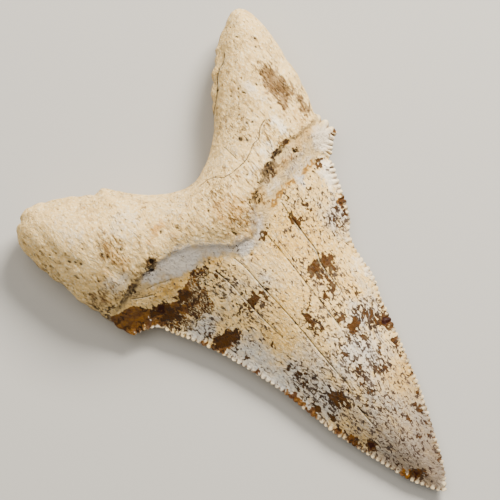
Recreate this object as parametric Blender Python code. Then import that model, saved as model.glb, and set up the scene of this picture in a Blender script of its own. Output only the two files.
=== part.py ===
"""Megalodon tooth, one closed solid that lies on its flat labial face with the lingual face up.

The outline is drawn in millimetres from the notch between the root lobes: x to the right, y up
towards the lobes, the crown's tip at the bottom. Both faces are heights over that outline. They
rise and fall with a smooth distance from the rim, and meet in a thin band all round it.
"""
import bmesh
import bpy
import numpy as np
from mathutils import Vector
from mathutils.geometry import delaunay_2d_cdt

MM = 0.001

# Saw edge
SERRATION_PITCH = 1.03
SERRATION_DEPTH = 0.45
CUSPLET_PITCH = 1.2
CUSPLET_DEPTH = 0.6
FLUTE_LENGTH = 1.5

# The rim: its height above the table at the tip, the shoulders and the root, and half its thickness
TIP = (0.1, -72.0)
SHOULDER_Y = -14.0
TIP_RIM = 2.0
SHOULDER_RIM = 3.8
ROOT_RIM = 6.4
ROOT_LIFT_START = -16.0
ROOT_LIFT_LENGTH = 21.0
CROWN_BAND = 0.15
ROOT_BAND = 0.5
EDGE_MARGIN = 2.0

# How the faces leave the rim
CROWN_SLOPE = 0.7
CROWN_UNDER_SLOPE = 0.75
ROOT_ROUNDNESS = 3.05
ROOT_UNDER_ROUNDNESS = 3.6
BULGE_CENTRE = (1.2, -5.5)
BULGE_REACH = (14.0, 9.0)
BULGE_HEIGHT = 5.5

# The neck on the upper face
NECK_WIDTH = 8.0
SCARP_WIDTH = 0.8
BOURLETTE_DEPTH = 0.6
ENAMEL_STEP_WIDTH = 0.9

# The underside
UNDER_NECK_WIDTH = 4.0
UNDER_GROOVE_DEPTH = 0.6
UNDER_GROOVE_WIDTH = 1.6
UNDER_DISH_CENTRE = (-0.5, 1.0)
UNDER_DISH_REACH = (7.0, 5.5)
UNDER_DISH_DEPTH = 1.6
UNDER_SOFTNESS = 0.8
FLAT_ENOUGH = 0.02

# The lines and pits of the upper face were read off a photo that looks down at 80 degrees.
# There each millimetre of height moves a point this far.
LEAN = (0.112, 0.136)
READING_HEIGHT = 4.0

# Mesh
GRID = 1.5
GRID_CLEARANCE = 0.9
LINE_CLEARANCE = 0.4
CURVE_STEP = 1.3
LOBE_RINGS = (0.5, 1.4)
PIT_SIDES = 6
PIT_LIP = 1.4

# Outline, anticlockwise from the left shoulder. The saw edges pass through the tips of the serrations.
CROWN_EDGE = [(-21.3, -15.5), (-20.0, -18.3), (-18.3, -21.2), (-16.7, -24.5), (-15.4, -27.4), (-14.2, -30.5),
              (-13.2, -33.5), (-12.2, -36.7), (-11.2, -40.5), (-10.1, -46.0), (-8.7, -52.0), (-6.4, -59.0),
              (-3.9, -66.0), (-1.6, -70.2), TIP, (1.2, -70.9), (3.2, -68.0), (5.9, -62.0),
              (9.1, -54.0), (11.9, -45.0), (14.0, -37.6), (15.7, -32.9), (16.2, -28.0), (17.3, -24.4),
              (19.0, -22.6), (20.4, -19.7), (21.4, -17.2), (22.1, -15.2), (23.3, -12.4), (22.9, -11.2)]
RIGHT_CUSPLET = [(22.9, -11.2), (24.3, -10.7), (25.8, -9.3), (27.5, -8.1), (27.3, -6.7), (27.1, -5.0),
                 (26.4, -3.0)]
LOBES = [(26.5, -3.0), (27.7, 0.5), (28.5, 4.0), (29.3, 9.7), (29.8, 14.4), (29.4, 19.2), (28.2, 21.3),
         (26.6, 21.8), (24.7, 21.2), (21.5, 19.4), (18.8, 17.2), (16.0, 14.8), (13.0, 11.3), (10.1, 7.1),
         (7.3, 4.4), (4.0, 2.0), (0.4, 0.6), (-2.9, 1.2), (-5.5, 2.7), (-8.2, 5.2), (-11.1, 8.5),
         (-12.9, 10.7), (-15.0, 11.2), (-17.3, 12.6), (-20.1, 14.3), (-23.4, 16.1), (-26.5, 16.9),
         (-28.9, 16.1), (-31.1, 14.3), (-31.9, 11.5), (-31.8, 8.0), (-31.3, 4.4), (-30.4, 1.2),
         (-29.8, -2.2), (-29.2, -4.7), (-28.1, -7.4)]
LEFT_CUSPLET = [(-28.1, -7.4), (-27.4, -9.4), (-27.2, -11.0), (-26.5, -12.6), (-25.8, -13.8), (-23.5, -14.5),
                (-21.3, -15.5)]

# Where the root rolls over into the crown: on the upper face, then on the underside
NECK = [(-30.0, -9.5), (-18.0, -9.5), (-9.0, -10.5), (-3.0, -13.0), (1.0, -14.5), (5.0, -14.0), (9.0, -11.0),
        (18.0, -8.0), (29.0, -6.5)]
UNDER_NECK = [(-30.0, -7.0), (-18.0, -8.0), (-8.0, -6.0), (0.0, -5.0), (8.0, -5.5), (18.0, -6.5),
              (29.0, -5.0)]

# The two lines that bound the bourlette, from left to right
ROOT_EDGE = [(-29.0, -7.6), (-25.8, -8.2), (-22.0, -7.2), (-17.5, -6.2), (-13.0, -6.1), (-9.0, -6.9),
             (-6.0, -8.3), (-3.7, -10.2), (-1.0, -12.2), (1.5, -12.9), (4.0, -12.6), (5.5, -10.8),
             (7.3, -8.2), (10.3, -6.6), (14.0, -4.9), (18.0, -3.7), (23.0, -3.9), (28.0, -3.2)]
ENAMEL_EDGE = [(-29.0, -8.0), (-21.0, -8.5), (-15.5, -9.4), (-11.5, -10.8), (-7.5, -11.0), (-4.5, -11.7),
               (-1.5, -14.2), (1.0, -15.1), (4.5, -14.6), (6.8, -12.7), (10.5, -10.6), (14.0, -9.5),
               (16.3, -10.9), (19.0, -9.9), (23.0, -8.6), (28.0, -7.2)]

# The rough layer that stands back from the notch side of the right lobe
LEDGE = [(10.1, 7.4), (12.2, 9.6), (14.8, 11.7), (16.9, 14.2), (19.2, 15.6), (21.7, 17.4)]
LEDGE_DROP = 0.7
LEDGE_WIDTH = 0.6
LEDGE_FADE = 2.0

# Open pores and holes of the upper face: x, y, radius, depth
PITS = [(18.8, -6.0, 0.6, 1.0), (-14.4, -5.6, 0.7, 0.9), (-25.9, -7.3, 0.6, 0.7), (13.3, -5.0, 0.6, 0.8),
        (10.3, -6.7, 0.5, 0.6), (12.5, 1.9, 0.6, 0.8), (0.5, -15.8, 0.5, 0.7), (4.2, -16.6, 0.5, 0.7),
        (-6.8, -3.3, 0.5, 0.6), (-0.4, -4.7, 0.5, 0.6), (0.6, -10.7, 0.5, 0.6), (22.6, 2.0, 0.7, 0.7),
        (24.4, 4.5, 0.7, 0.7), (7.8, -9.1, 0.6, 0.7), (-21.5, -13.4, 0.5, 0.6)]


def curve_through(points, step):
    """A smooth curve through hand-placed points, as short chords about one step long."""
    points = [np.array(point) for point in points]
    padded = [2 * points[0] - points[1], *points, 2 * points[-1] - points[-2]]
    curve = []
    for before, start, end, after in zip(padded, padded[1:], padded[2:], padded[3:]):
        pull = end - before
        bend = 2 * before - 5 * start + 4 * end - after
        twist = 3 * start - 3 * end + after - before
        pieces = max(1, round(np.linalg.norm(end - start) / step))
        for t in np.arange(pieces) / pieces:
            curve.append(start + 0.5 * t * (pull + t * (bend + t * twist)))
    return np.array(curve + [points[-1]])


def walk(points, pitch):
    """Marks half a pitch apart along a smooth curve, starting and ending on it, and the way in from each."""
    curve = curve_through(points, pitch / 4)
    along = np.concatenate([[0], np.cumsum(np.linalg.norm(np.diff(curve, axis=0), axis=1))])
    distance = np.linspace(0, along[-1], 2 * round(along[-1] / pitch) + 1)
    marks = np.stack([np.interp(distance, along, curve[:, axis]) for axis in (0, 1)], axis=1)
    ahead = np.gradient(marks, axis=0)
    inward = np.stack([-ahead[:, 1], ahead[:, 0]], axis=1)
    return marks, inward / np.linalg.norm(inward, axis=1, keepdims=True)


def smooth_step(value):
    """0 below 0, 1 above 1, and an even S between."""
    value = np.clip(value, 0, 1)
    return value * value * (3 - 2 * value)


def past_line(points, line, width):
    """0 above a line that runs from left to right, 1 a width below it."""
    return smooth_step((np.interp(points[:, 0], line[:, 0], line[:, 1]) - points[:, 1]) / width)


def mound(points, centre, reach):
    """A round hill, 1 at its centre."""
    return np.exp(-(((points - centre) / reach) ** 2).sum(axis=1))


def distance_to(points, targets):
    """How far each point is from the nearest target."""
    return np.linalg.norm(points[:, None] - targets[None], axis=2).min(axis=1)


def rim_distance(points, loop):
    """A smooth distance from a closed loop: 0 on it, and with no crease along the middle of the shape."""
    to_start = loop[None] - points[:, None]
    to_end = np.roll(loop, -1, axis=0)[None] - points[:, None]
    start = np.linalg.norm(to_start, axis=2)
    end = np.linalg.norm(to_end, axis=2)
    chord = np.linalg.norm(to_end - to_start, axis=2)
    turn = start * end + (to_start * to_end).sum(axis=2)
    nearness = 0.5 * (chord * (start + end) / (start * end * turn)).sum(axis=1)
    return nearness ** -0.5


def is_inside(points, loop):
    """Which points lie inside a closed loop."""
    inside = np.zeros(len(points), dtype=bool)
    for a, b in zip(loop, np.roll(loop, -1, axis=0)):
        crosses = (a[1] > points[:, 1]) != (b[1] > points[:, 1])
        run = (b[0] - a[0]) / (b[1] - a[1] if b[1] != a[1] else 1)
        inside ^= crosses & (points[:, 0] < a[0] + run * (points[:, 1] - a[1]))
    return inside


def root_lift(points):
    """0 on the crown, 1 on the root lobes."""
    return smooth_step((points[:, 1] - ROOT_LIFT_START) / ROOT_LIFT_LENGTH)


def rim_height(points):
    """Height of the thin rim above the table: low at the tip, lifted round the root."""
    up_the_crown = np.clip((points[:, 1] - TIP[1]) / (SHOULDER_Y - TIP[1]), 0, 1)
    crown = TIP_RIM + (SHOULDER_RIM - TIP_RIM) * up_the_crown
    return crown + (ROOT_RIM - SHOULDER_RIM) * root_lift(points)


def dome_height(points, base):
    """The lingual face before its details: a domed crown and a rounded root with a bulge in the middle."""
    distance = rim_distance(points, base)
    crown = past_line(points, curve_through(NECK, CURVE_STEP) + (0, NECK_WIDTH / 2), NECK_WIDTH)
    height = CROWN_SLOPE * distance * crown + ROOT_ROUNDNESS * np.sqrt(distance) * (1 - crown)
    return rim_height(points) + height + BULGE_HEIGHT * mound(points, BULGE_CENTRE, BULGE_REACH)


def settle(points, base):
    """Move points that were read off the photo to their place on the tooth."""
    points = np.array(points)
    rise = dome_height(points, base) - READING_HEIGHT
    return points - np.outer(rise, LEAN)


def upper_height(points, base, root_edge, enamel_edge, ledge, pits):
    """The lingual face, with the sunk bourlette, the ledge on the right lobe and the pits."""
    height = dome_height(points, base)
    away_from_rim = smooth_step(rim_distance(points, base) / EDGE_MARGIN)
    bourlette = past_line(points, root_edge, SCARP_WIDTH) - past_line(points, enamel_edge, ENAMEL_STEP_WIDTH)
    height -= BOURLETTE_DEPTH * np.clip(bourlette, 0, 1) * away_from_rim
    low_side = 1 - past_line(points, ledge + (0, LEDGE_WIDTH), LEDGE_WIDTH)
    x = points[:, 0]
    beside = smooth_step((x - ledge[0, 0]) / LEDGE_FADE) * smooth_step((ledge[-1, 0] - x) / LEDGE_FADE)
    height -= LEDGE_DROP * low_side * beside * away_from_rim
    for pit, (_, _, radius, depth) in zip(pits, PITS):
        height -= depth * mound(points, pit, radius)
    return height


def lower_height(points, base):
    """The labial face: flat where it lies on the table, with the enamel's foot as a shallow groove."""
    neck = curve_through(UNDER_NECK, CURVE_STEP)
    distance = rim_distance(points, base)
    crown = past_line(points, neck + (0, UNDER_NECK_WIDTH / 2), UNDER_NECK_WIDTH)
    drop = CROWN_UNDER_SLOPE * distance * crown + ROOT_UNDER_ROUNDNESS * np.sqrt(distance) * (1 - crown)
    above = rim_height(points) - drop
    soft = (above + UNDER_SOFTNESS) ** 2 / (4 * UNDER_SOFTNESS)
    above = np.where(above > UNDER_SOFTNESS, above, np.where(above < -UNDER_SOFTNESS, 0, soft))
    from_neck = points[:, 1] - np.interp(points[:, 0], neck[:, 0], neck[:, 1])
    hollow = UNDER_GROOVE_DEPTH * np.exp(-(from_neck / UNDER_GROOVE_WIDTH) ** 2)
    hollow += UNDER_DISH_DEPTH * mound(points, UNDER_DISH_CENTRE, UNDER_DISH_REACH)
    hollow[hollow < FLAT_ENOUGH] = 0
    return np.maximum(above, hollow)


def build_outline():
    """The rim with its serrations, the same rim without them, and rings of points inside it."""
    rim, base, rings = [], [], []
    for points, pitch, depth in ((CROWN_EDGE, SERRATION_PITCH, SERRATION_DEPTH),
                                 (RIGHT_CUSPLET, CUSPLET_PITCH, CUSPLET_DEPTH),
                                 (LOBES, 2 * CURVE_STEP, 0),
                                 (LEFT_CUSPLET, CUSPLET_PITCH, CUSPLET_DEPTH)):
        marks, inward = walk(points, pitch)
        if depth == 0:
            base.extend(marks[:-1])
            rings.extend(marks + ring * inward for ring in LOBE_RINGS)
        else:
            rings.append((marks + FLUTE_LENGTH * inward)[2:-2:2])
            marks[::2] += depth * inward[::2]
            base.extend(marks[:-1:2])
        rim.extend(marks[:-1])
    return np.array(rim), np.array(base), rings


def inner_points(base, rings, lines, pits):
    """Points inside the outline: rings along the rim, the neck's lines, the pits, then an even grid."""
    angles = np.arange(PIT_SIDES) * 2 * np.pi / PIT_SIDES
    circle = np.stack([np.cos(angles), np.sin(angles)], axis=1)
    low, high = base.min(axis=0), base.max(axis=0)
    grid = [(x + GRID / 2 * (row % 2), y)
            for row, y in enumerate(np.arange(low[1], high[1], GRID * np.sqrt(3) / 2))
            for x in np.arange(low[0], high[0], GRID)]
    groups = [(pit + radius * np.vstack([[(0, 0)], PIT_LIP * circle]), LINE_CLEARANCE)
              for pit, (_, _, radius, _) in zip(pits, PITS)]
    groups += [(line, LINE_CLEARANCE) for line in [*rings, *lines]]
    groups += [(np.array(grid), GRID_CLEARANCE)]

    kept = np.zeros((0, 2))
    for group, gap in groups:
        group = group[is_inside(group, base)]
        group = group[distance_to(group, base) > gap]
        if len(kept) and len(group):
            group = group[distance_to(group, kept) > gap]
        kept = np.vstack([kept, group])
    return kept


def build_tooth():
    """Mesh both faces over the same triangles, and close them with a thin band along the rim."""
    rim, base, rings = build_outline()
    root_edge, enamel_edge, ledge = [settle(curve_through(line, CURVE_STEP), base)
                                     for line in (ROOT_EDGE, ENAMEL_EDGE, LEDGE)]
    pits = settle([(x, y) for x, y, _, _ in PITS], base)
    lines = [root_edge, root_edge - (0, SCARP_WIDTH), enamel_edge, enamel_edge - (0, ENAMEL_STEP_WIDTH),
             ledge, ledge + (0, LEDGE_WIDTH)]
    inner = inner_points(base, rings, lines, pits)

    loop = [(i, (i + 1) % len(rim)) for i in range(len(rim))]
    corners = [Vector(point) for point in np.vstack([rim, inner])]
    plan, _, triangles, sources, _, _ = delaunay_2d_cdt(corners, loop, [], 1, 1e-5)
    place = {source: i for i, group in enumerate(sources) for source in group}
    around = [place[i] for i in range(len(rim))]
    plan = np.array([tuple(point) for point in plan])

    band = CROWN_BAND + (ROOT_BAND - CROWN_BAND) * root_lift(plan)
    top = rim_height(plan) + band
    bottom = rim_height(plan) - band
    inside = np.setdiff1d(np.arange(len(plan)), around)
    top[inside] = upper_height(plan[inside], base, root_edge, enamel_edge, ledge, pits)
    bottom[inside] = lower_height(plan[inside], base)

    plan -= (plan.min(axis=0) + plan.max(axis=0)) / 2
    bm = bmesh.new()
    upper = [bm.verts.new((x * MM, y * MM, height * MM)) for (x, y), height in zip(plan, top)]
    lower = [bm.verts.new((x * MM, y * MM, height * MM)) for (x, y), height in zip(plan, bottom)]
    for a, b, c in triangles:
        bm.faces.new((upper[a], upper[b], upper[c]))
        bm.faces.new((lower[c], lower[b], lower[a]))
    for a, b in zip(around, around[1:] + around[:1]):
        bm.faces.new((lower[a], lower[b], upper[b], upper[a]))

    mesh = bpy.data.meshes.new("tooth")
    bm.to_mesh(mesh)
    bm.free()
    mesh.materials.append(tooth_material())
    tooth = bpy.data.objects.new("tooth", mesh)
    bpy.context.scene.collection.objects.link(tooth)


def tooth_material():
    """Aged tooth: cream enamel and root, polished smooth but not wet."""
    material = bpy.data.materials.new("fossil_tooth")
    material.use_nodes = True
    shader = material.node_tree.nodes["Principled BSDF"]
    shader.inputs["Base Color"].default_value = (0.62, 0.54, 0.38, 1)
    shader.inputs["Roughness"].default_value = 0.4
    shader.inputs["Metallic"].default_value = 0.0
    return material


for thing in list(bpy.data.objects):
    bpy.data.objects.remove(thing)
build_tooth()
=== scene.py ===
"""Fossil megalodon tooth, laid on its flat labial face and seen from above.

Lengths in the tooth's sections are in millimetres, counted from the notch between the root lobes:
x to the right, y up towards the lobes. The crown's tip is at the bottom.
"""

import math

import bpy
import numpy as np
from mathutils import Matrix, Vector
from mathutils.geometry import delaunay_2d_cdt
from mathutils.kdtree import KDTree


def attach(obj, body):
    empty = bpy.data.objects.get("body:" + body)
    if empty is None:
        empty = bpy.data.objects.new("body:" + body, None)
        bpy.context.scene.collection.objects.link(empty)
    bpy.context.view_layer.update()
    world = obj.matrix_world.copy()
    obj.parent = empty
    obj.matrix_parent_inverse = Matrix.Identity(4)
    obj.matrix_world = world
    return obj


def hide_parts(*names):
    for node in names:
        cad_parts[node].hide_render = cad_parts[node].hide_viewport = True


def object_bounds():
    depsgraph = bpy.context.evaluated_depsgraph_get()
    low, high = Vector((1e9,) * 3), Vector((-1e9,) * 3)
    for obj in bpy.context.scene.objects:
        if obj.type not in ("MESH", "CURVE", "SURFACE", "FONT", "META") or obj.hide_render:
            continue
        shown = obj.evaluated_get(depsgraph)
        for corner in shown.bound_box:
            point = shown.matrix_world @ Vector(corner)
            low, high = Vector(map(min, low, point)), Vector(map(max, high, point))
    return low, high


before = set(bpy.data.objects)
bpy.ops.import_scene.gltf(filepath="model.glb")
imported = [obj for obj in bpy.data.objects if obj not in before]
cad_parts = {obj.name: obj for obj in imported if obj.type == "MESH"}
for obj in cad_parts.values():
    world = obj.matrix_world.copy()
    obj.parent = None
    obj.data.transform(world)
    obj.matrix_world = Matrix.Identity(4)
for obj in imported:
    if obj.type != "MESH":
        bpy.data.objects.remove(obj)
cad_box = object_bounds()

MM = 0.001

# Camera
# The photo looks down on the tooth at 80 degrees from the side of the crown's left edge, so that
# the lobes point to the picture's upper left and the crown's tip to its lower right.
CAMERA_ELEVATION = math.radians(80)
CAMERA_HEADING = (0.636, 0.771)
CAMERA_DISTANCE = 0.3854
CAMERA_LENS = 150
AIM = Vector((0.00186, 0.01001, 0.004))

look = Vector((CAMERA_HEADING[0] * math.cos(CAMERA_ELEVATION),
               CAMERA_HEADING[1] * math.cos(CAMERA_ELEVATION), -math.sin(CAMERA_ELEVATION)))
camera = bpy.data.objects.new("camera", bpy.data.cameras.new("camera"))
camera.data.lens = CAMERA_LENS
camera.location = AIM - look * CAMERA_DISTANCE
camera.rotation_euler = look.to_track_quat("-Z", "Y").to_euler()
bpy.context.scene.collection.objects.link(camera)
bpy.context.scene.camera = camera


# Tooth: the blank
# One piece of dentine under a cap of enamel, mineralised in the ground: a forked root that bulges
# in the middle, a sunk band below it and a long domed blade with a saw edge on both sides.
TIP = (0.1, -72.0)
CROWN_EDGE = [(-21.3, -15.5), (-20.0, -18.3), (-18.3, -21.2), (-16.7, -24.5), (-15.4, -27.4), (-14.2, -30.5),
              (-13.2, -33.5), (-12.2, -36.7), (-11.2, -40.5), (-10.1, -46.0), (-8.7, -52.0), (-6.4, -59.0),
              (-3.9, -66.0), (-1.6, -70.2), TIP, (1.2, -70.9), (3.2, -68.0), (5.9, -62.0),
              (9.1, -54.0), (11.9, -45.0), (14.0, -37.6), (15.7, -32.9), (16.2, -28.0), (17.3, -24.4),
              (19.0, -22.6), (20.4, -19.7), (21.4, -17.2), (22.1, -15.2), (23.3, -12.4), (22.9, -11.2)]
RIGHT_FOOT = [(22.9, -11.2), (24.3, -10.7), (25.8, -9.3), (27.4, -8.3)]
RIGHT_COMB = [(27.4, -8.3), (27.5, -6.9), (27.2, -5.2), (26.4, -3.0)]
LOBES = [(26.4, -3.0), (27.7, 0.5), (28.5, 4.0), (29.3, 9.7), (29.8, 14.4), (29.4, 19.2), (28.2, 21.3),
         (26.6, 21.8), (24.7, 21.2), (21.5, 19.4), (18.8, 17.2), (16.0, 14.8), (13.0, 11.3), (10.1, 7.1),
         (7.3, 4.4), (4.0, 2.0), (0.4, 0.6), (-2.9, 1.2), (-5.5, 2.7), (-8.2, 5.2), (-11.1, 8.5),
         (-12.9, 10.7), (-15.0, 11.2), (-17.3, 12.6), (-20.1, 14.3), (-23.4, 16.1), (-26.5, 16.9),
         (-28.9, 16.1), (-31.1, 14.3), (-31.9, 11.5), (-31.8, 8.0), (-31.3, 4.4), (-30.4, 1.2),
         (-29.8, -2.2), (-29.2, -4.7), (-28.1, -7.4)]
LEFT_SIDE = [(-28.1, -7.4), (-27.5, -9.4), (-27.2, -11.0), (-26.5, -12.6), (-25.8, -13.8)]
LEFT_FOOT = [(-25.8, -13.8), (-23.5, -14.5), (-21.3, -15.5)]
MIDDLE = (-1.0726, -25.0411)

SERRATION_PITCH = 1.03
SERRATION_DEPTH = 0.45
FOOT_PITCH = 0.85
FOOT_DEPTH = 0.4
COMB_PITCH = 1.7
COMB_DEPTH = 0.95
LUMP_PITCH = 2.1
LUMP_CUT = 0.3
# Nicks in the root's outline: where, how wide and how deep.
NICKS = [(-29.3, 16.0, 0.5, 0.5), (-31.4, 14.3, 0.9, 0.25), (-25.4, 16.9, 0.7, 0.2), (-22.6, 15.8, 0.7, 0.3),
         (-18.6, 13.6, 0.7, -0.15), (-17.0, 12.5, 0.6, 0.25), (-15.0, 11.4, 0.5, 0.35), (-13.3, 10.9, 0.6, -0.2),
         (-32.0, 9.0, 1.0, 0.2), (-31.6, 5.0, 0.8, 0.25), (-30.6, 1.6, 0.8, 0.25), (-29.9, -2.4, 0.6, -0.15),
         (-29.0, -4.0, 0.6, 0.3), (-28.4, -6.2, 0.6, 0.25), (23.6, 20.6, 0.8, 0.3), (19.6, 17.7, 0.6, -0.25),
         (18.9, 17.2, 0.4, 0.3), (17.3, 16.1, 0.5, 0.35), (16.0, 14.8, 0.5, -0.2), (15.0, 13.7, 0.5, 0.4),
         (13.6, 12.0, 0.5, -0.15), (12.6, 10.8, 0.6, 0.3), (28.9, 8.0, 1.2, 0.2), (28.3, 2.5, 1.0, 0.15)]
SAMPLES_PER_SERRATION = 8
LOBE_STEP = 0.25

SHOULDER_Y = -14.0
TIP_RIM = 2.0
SHOULDER_RIM = 3.8
ROOT_RIM = 6.4
ROOT_LIFT_START = -16.0
ROOT_LIFT_LENGTH = 21.0
CROWN_BAND = 0.15
ROOT_BAND = 0.5
BAND_FADE = 0.6
CROWN_SLOPE = 0.7
ROOT_ROUNDNESS = 3.05
BULGE_CENTRE = (1.2, -5.5)
BULGE_REACH = (14.0, 9.0)
BULGE_HEIGHT = 5.5
NECK = [(-30.0, -9.5), (-18.0, -9.5), (-9.0, -10.5), (-3.0, -13.0), (1.0, -14.5), (5.0, -14.0), (9.0, -11.0),
        (18.0, -8.0), (29.0, -6.5)]
NECK_WIDTH = 8.0

# From straight above, each millimetre of height would put a point of the photo this far off.
LEAN = (0.112, 0.136)
READING_HEIGHT = 4.0

CHUNK = 2000
CURVE_STEP = 1.3


def curve_through(points, step):
    """A smooth curve through given points, as short chords about one step long."""
    points = [np.array(point, dtype=float) for point in points]
    padded = [2 * points[0] - points[1], *points, 2 * points[-1] - points[-2]]
    curve = []
    for before, start, end, after in zip(padded, padded[1:], padded[2:], padded[3:]):
        pull = end - before
        bend = 2 * before - 5 * start + 4 * end - after
        twist = 3 * start - 3 * end + after - before
        pieces = max(1, round(np.linalg.norm(end - start) / step))
        for t in np.arange(pieces) / pieces:
            curve.append(start + 0.5 * t * (pull + t * (bend + t * twist)))
    return np.array(curve + [points[-1]])


def smooth_step(value):
    """0 below 0, 1 above 1, and an even S between."""
    value = np.clip(value, 0, 1)
    return value * value * (3 - 2 * value)


def mound(points, centre, reach):
    """A round hill, 1 at its centre."""
    return np.exp(-(((points - centre) / reach) ** 2).sum(axis=1))


def past_line(points, line, width):
    """0 above a line that runs from left to right, 1 a width below it."""
    return smooth_step((np.interp(points[:, 0], line[:, 0], line[:, 1]) - points[:, 1]) / width)


def in_chunks(measure, points, *others):
    """Measure many points a few at a time, to keep the arrays small."""
    return np.concatenate([measure(points[i:i + CHUNK], *others) for i in range(0, len(points), CHUNK)])


def rim_distance(points, loop):
    """A smooth distance from a closed loop: 0 on it, and with no crease along the middle of the shape."""
    to_start = loop[None] - points[:, None]
    to_end = np.roll(loop, -1, axis=0)[None] - points[:, None]
    start = np.linalg.norm(to_start, axis=2) + 1e-9
    end = np.linalg.norm(to_end, axis=2) + 1e-9
    chord = np.linalg.norm(to_end - to_start, axis=2)
    turn = np.maximum(start * end + (to_start * to_end).sum(axis=2), 1e-12)
    nearness = 0.5 * (chord * (start + end) / (start * end * turn)).sum(axis=1)
    return nearness ** -0.5


def is_inside(points, loop):
    """Which points lie inside a closed loop."""
    inside = np.zeros(len(points), dtype=bool)
    for a, b in zip(loop, np.roll(loop, -1, axis=0)):
        crosses = (a[1] > points[:, 1]) != (b[1] > points[:, 1])
        run = (b[0] - a[0]) / (b[1] - a[1] if b[1] != a[1] else 1)
        inside ^= crosses & (points[:, 0] < a[0] + run * (points[:, 1] - a[1]))
    return inside


def edge_samples(points, pitch, depth, step):
    """Points along one stretch of the rim, at the foot of its serrations.

    Each row holds x, y, the way out in x and y, how many serrations come before it and how deep
    they are cut. The serrations get shallow at both ends of the stretch.
    """
    curve = curve_through(points, 0.1)
    along = np.concatenate([[0], np.cumsum(np.linalg.norm(np.diff(curve, axis=0), axis=1))])
    serrations = round(along[-1] / pitch)
    count = round(along[-1] / step)
    run = np.linspace(0, serrations, count + 1)
    place = np.stack([np.interp(run / serrations * along[-1], along, curve[:, axis]) for axis in (0, 1)], axis=1)
    ahead = np.gradient(place, axis=0)
    out = np.stack([ahead[:, 1], -ahead[:, 0]], axis=1) / np.linalg.norm(ahead, axis=1, keepdims=True)
    cut = depth * smooth_step(np.minimum(run, serrations - run))
    place = place - cut[:, None] * out
    return np.column_stack([place, out, run, cut])[:-1]


def rim_height(points):
    """Height of the thin rim above the table: low at the tip, lifted round the root."""
    up_the_crown = np.clip((points[:, 1] - TIP[1]) / (SHOULDER_Y - TIP[1]), 0, 1)
    return TIP_RIM + (SHOULDER_RIM - TIP_RIM) * up_the_crown + (ROOT_RIM - SHOULDER_RIM) * root_lift(points)


def root_lift(points):
    """0 on the crown, 1 on the root lobes."""
    return smooth_step((points[:, 1] - ROOT_LIFT_START) / ROOT_LIFT_LENGTH)


def band_height(points, distance):
    """Half the thickness that the rim keeps."""
    band = CROWN_BAND + (ROOT_BAND - CROWN_BAND) * root_lift(points)
    return band * np.clip(1 - distance / BAND_FADE, 0, 1)


def dome_height(points, distance):
    """The lingual face before its details: a domed crown and a rounded root with a bulge in the middle."""
    crown = past_line(points, curve_through(NECK, CURVE_STEP) + (0, NECK_WIDTH / 2), NECK_WIDTH)
    height = CROWN_SLOPE * distance * crown + ROOT_ROUNDNESS * np.sqrt(distance) * (1 - crown)
    return rim_height(points) + height + BULGE_HEIGHT * mound(points, BULGE_CENTRE, BULGE_REACH)


serration_step = SERRATION_PITCH / SAMPLES_PER_SERRATION
lobes = edge_samples(LOBES, 1, 0, LOBE_STEP)
for x, y, reach, depth in NICKS:
    lobes[:, :2] -= depth * mound(lobes[:, :2], (x, y), reach)[:, None] * lobes[:, 2:4]
rim = np.vstack([edge_samples(CROWN_EDGE, SERRATION_PITCH, SERRATION_DEPTH, serration_step),
                 edge_samples(RIGHT_FOOT, FOOT_PITCH, FOOT_DEPTH, serration_step),
                 edge_samples(RIGHT_COMB, COMB_PITCH, COMB_DEPTH, serration_step), lobes,
                 edge_samples(LEFT_SIDE, LUMP_PITCH, LUMP_CUT, serration_step),
                 edge_samples(LEFT_FOOT, FOOT_PITCH, FOOT_DEPTH, serration_step)])
rim_place, rim_out, rim_run, rim_cut = rim[:, :2], rim[:, 2:4], rim[:, 4], rim[:, 5]
rim_tree = KDTree(len(rim))
for i, (x, y) in enumerate(rim_place):
    rim_tree.insert((x, y, 0), i)
rim_tree.balance()


def nearest_on_rim(points):
    """For each point, the nearest rim sample and how far it is."""
    found = [rim_tree.find((x, y, 0)) for x, y in points]
    return np.array([index for _, index, _ in found]), np.array([distance for _, _, distance in found])


# Tooth: the fine mesh
# Both faces are triangles over the same rim, small enough for the serrations and the neck's edges.
UPPER_GRID = 0.25
LOWER_GRID = 0.5
RINGS = (0.05, 0.14, 0.28, 0.48, 0.72)
RING_GAP = 0.8
GRID_MARGIN = 0.9


def face_triangles(grid):
    """Triangles over the rim's loop, with rings of points beside the rim and an even grid within."""
    rings = np.vstack([rim_place - ring * rim_out for ring in RINGS])
    ring_size = np.repeat(RINGS, len(rim))
    keep = is_inside(rings, rim_place)
    rings, ring_size = rings[keep], ring_size[keep]
    rings = rings[nearest_on_rim(rings)[1] > RING_GAP * ring_size]
    low, high = rim_place.min(axis=0), rim_place.max(axis=0)
    rows = np.arange(low[1], high[1], grid * math.sqrt(3) / 2)
    even = np.array([(x + grid / 2 * (row % 2), y)
                     for row, y in enumerate(rows) for x in np.arange(low[0], high[0], grid)])
    even = even[is_inside(even, rim_place)]
    even = even[nearest_on_rim(even)[1] > GRID_MARGIN]
    corners = [Vector(point) for point in np.vstack([rim_place, rings, even])]
    loop = [(i, (i + 1) % len(rim)) for i in range(len(rim))]
    plan, _, triangles, sources, _, _ = delaunay_2d_cdt(corners, loop, [], 1, 1e-6)
    place = {source: i for i, group in enumerate(sources) for source in group}
    around = np.array([place[i] for i in range(len(rim))])
    return np.array([tuple(point) for point in plan]), np.array(triangles), around


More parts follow.
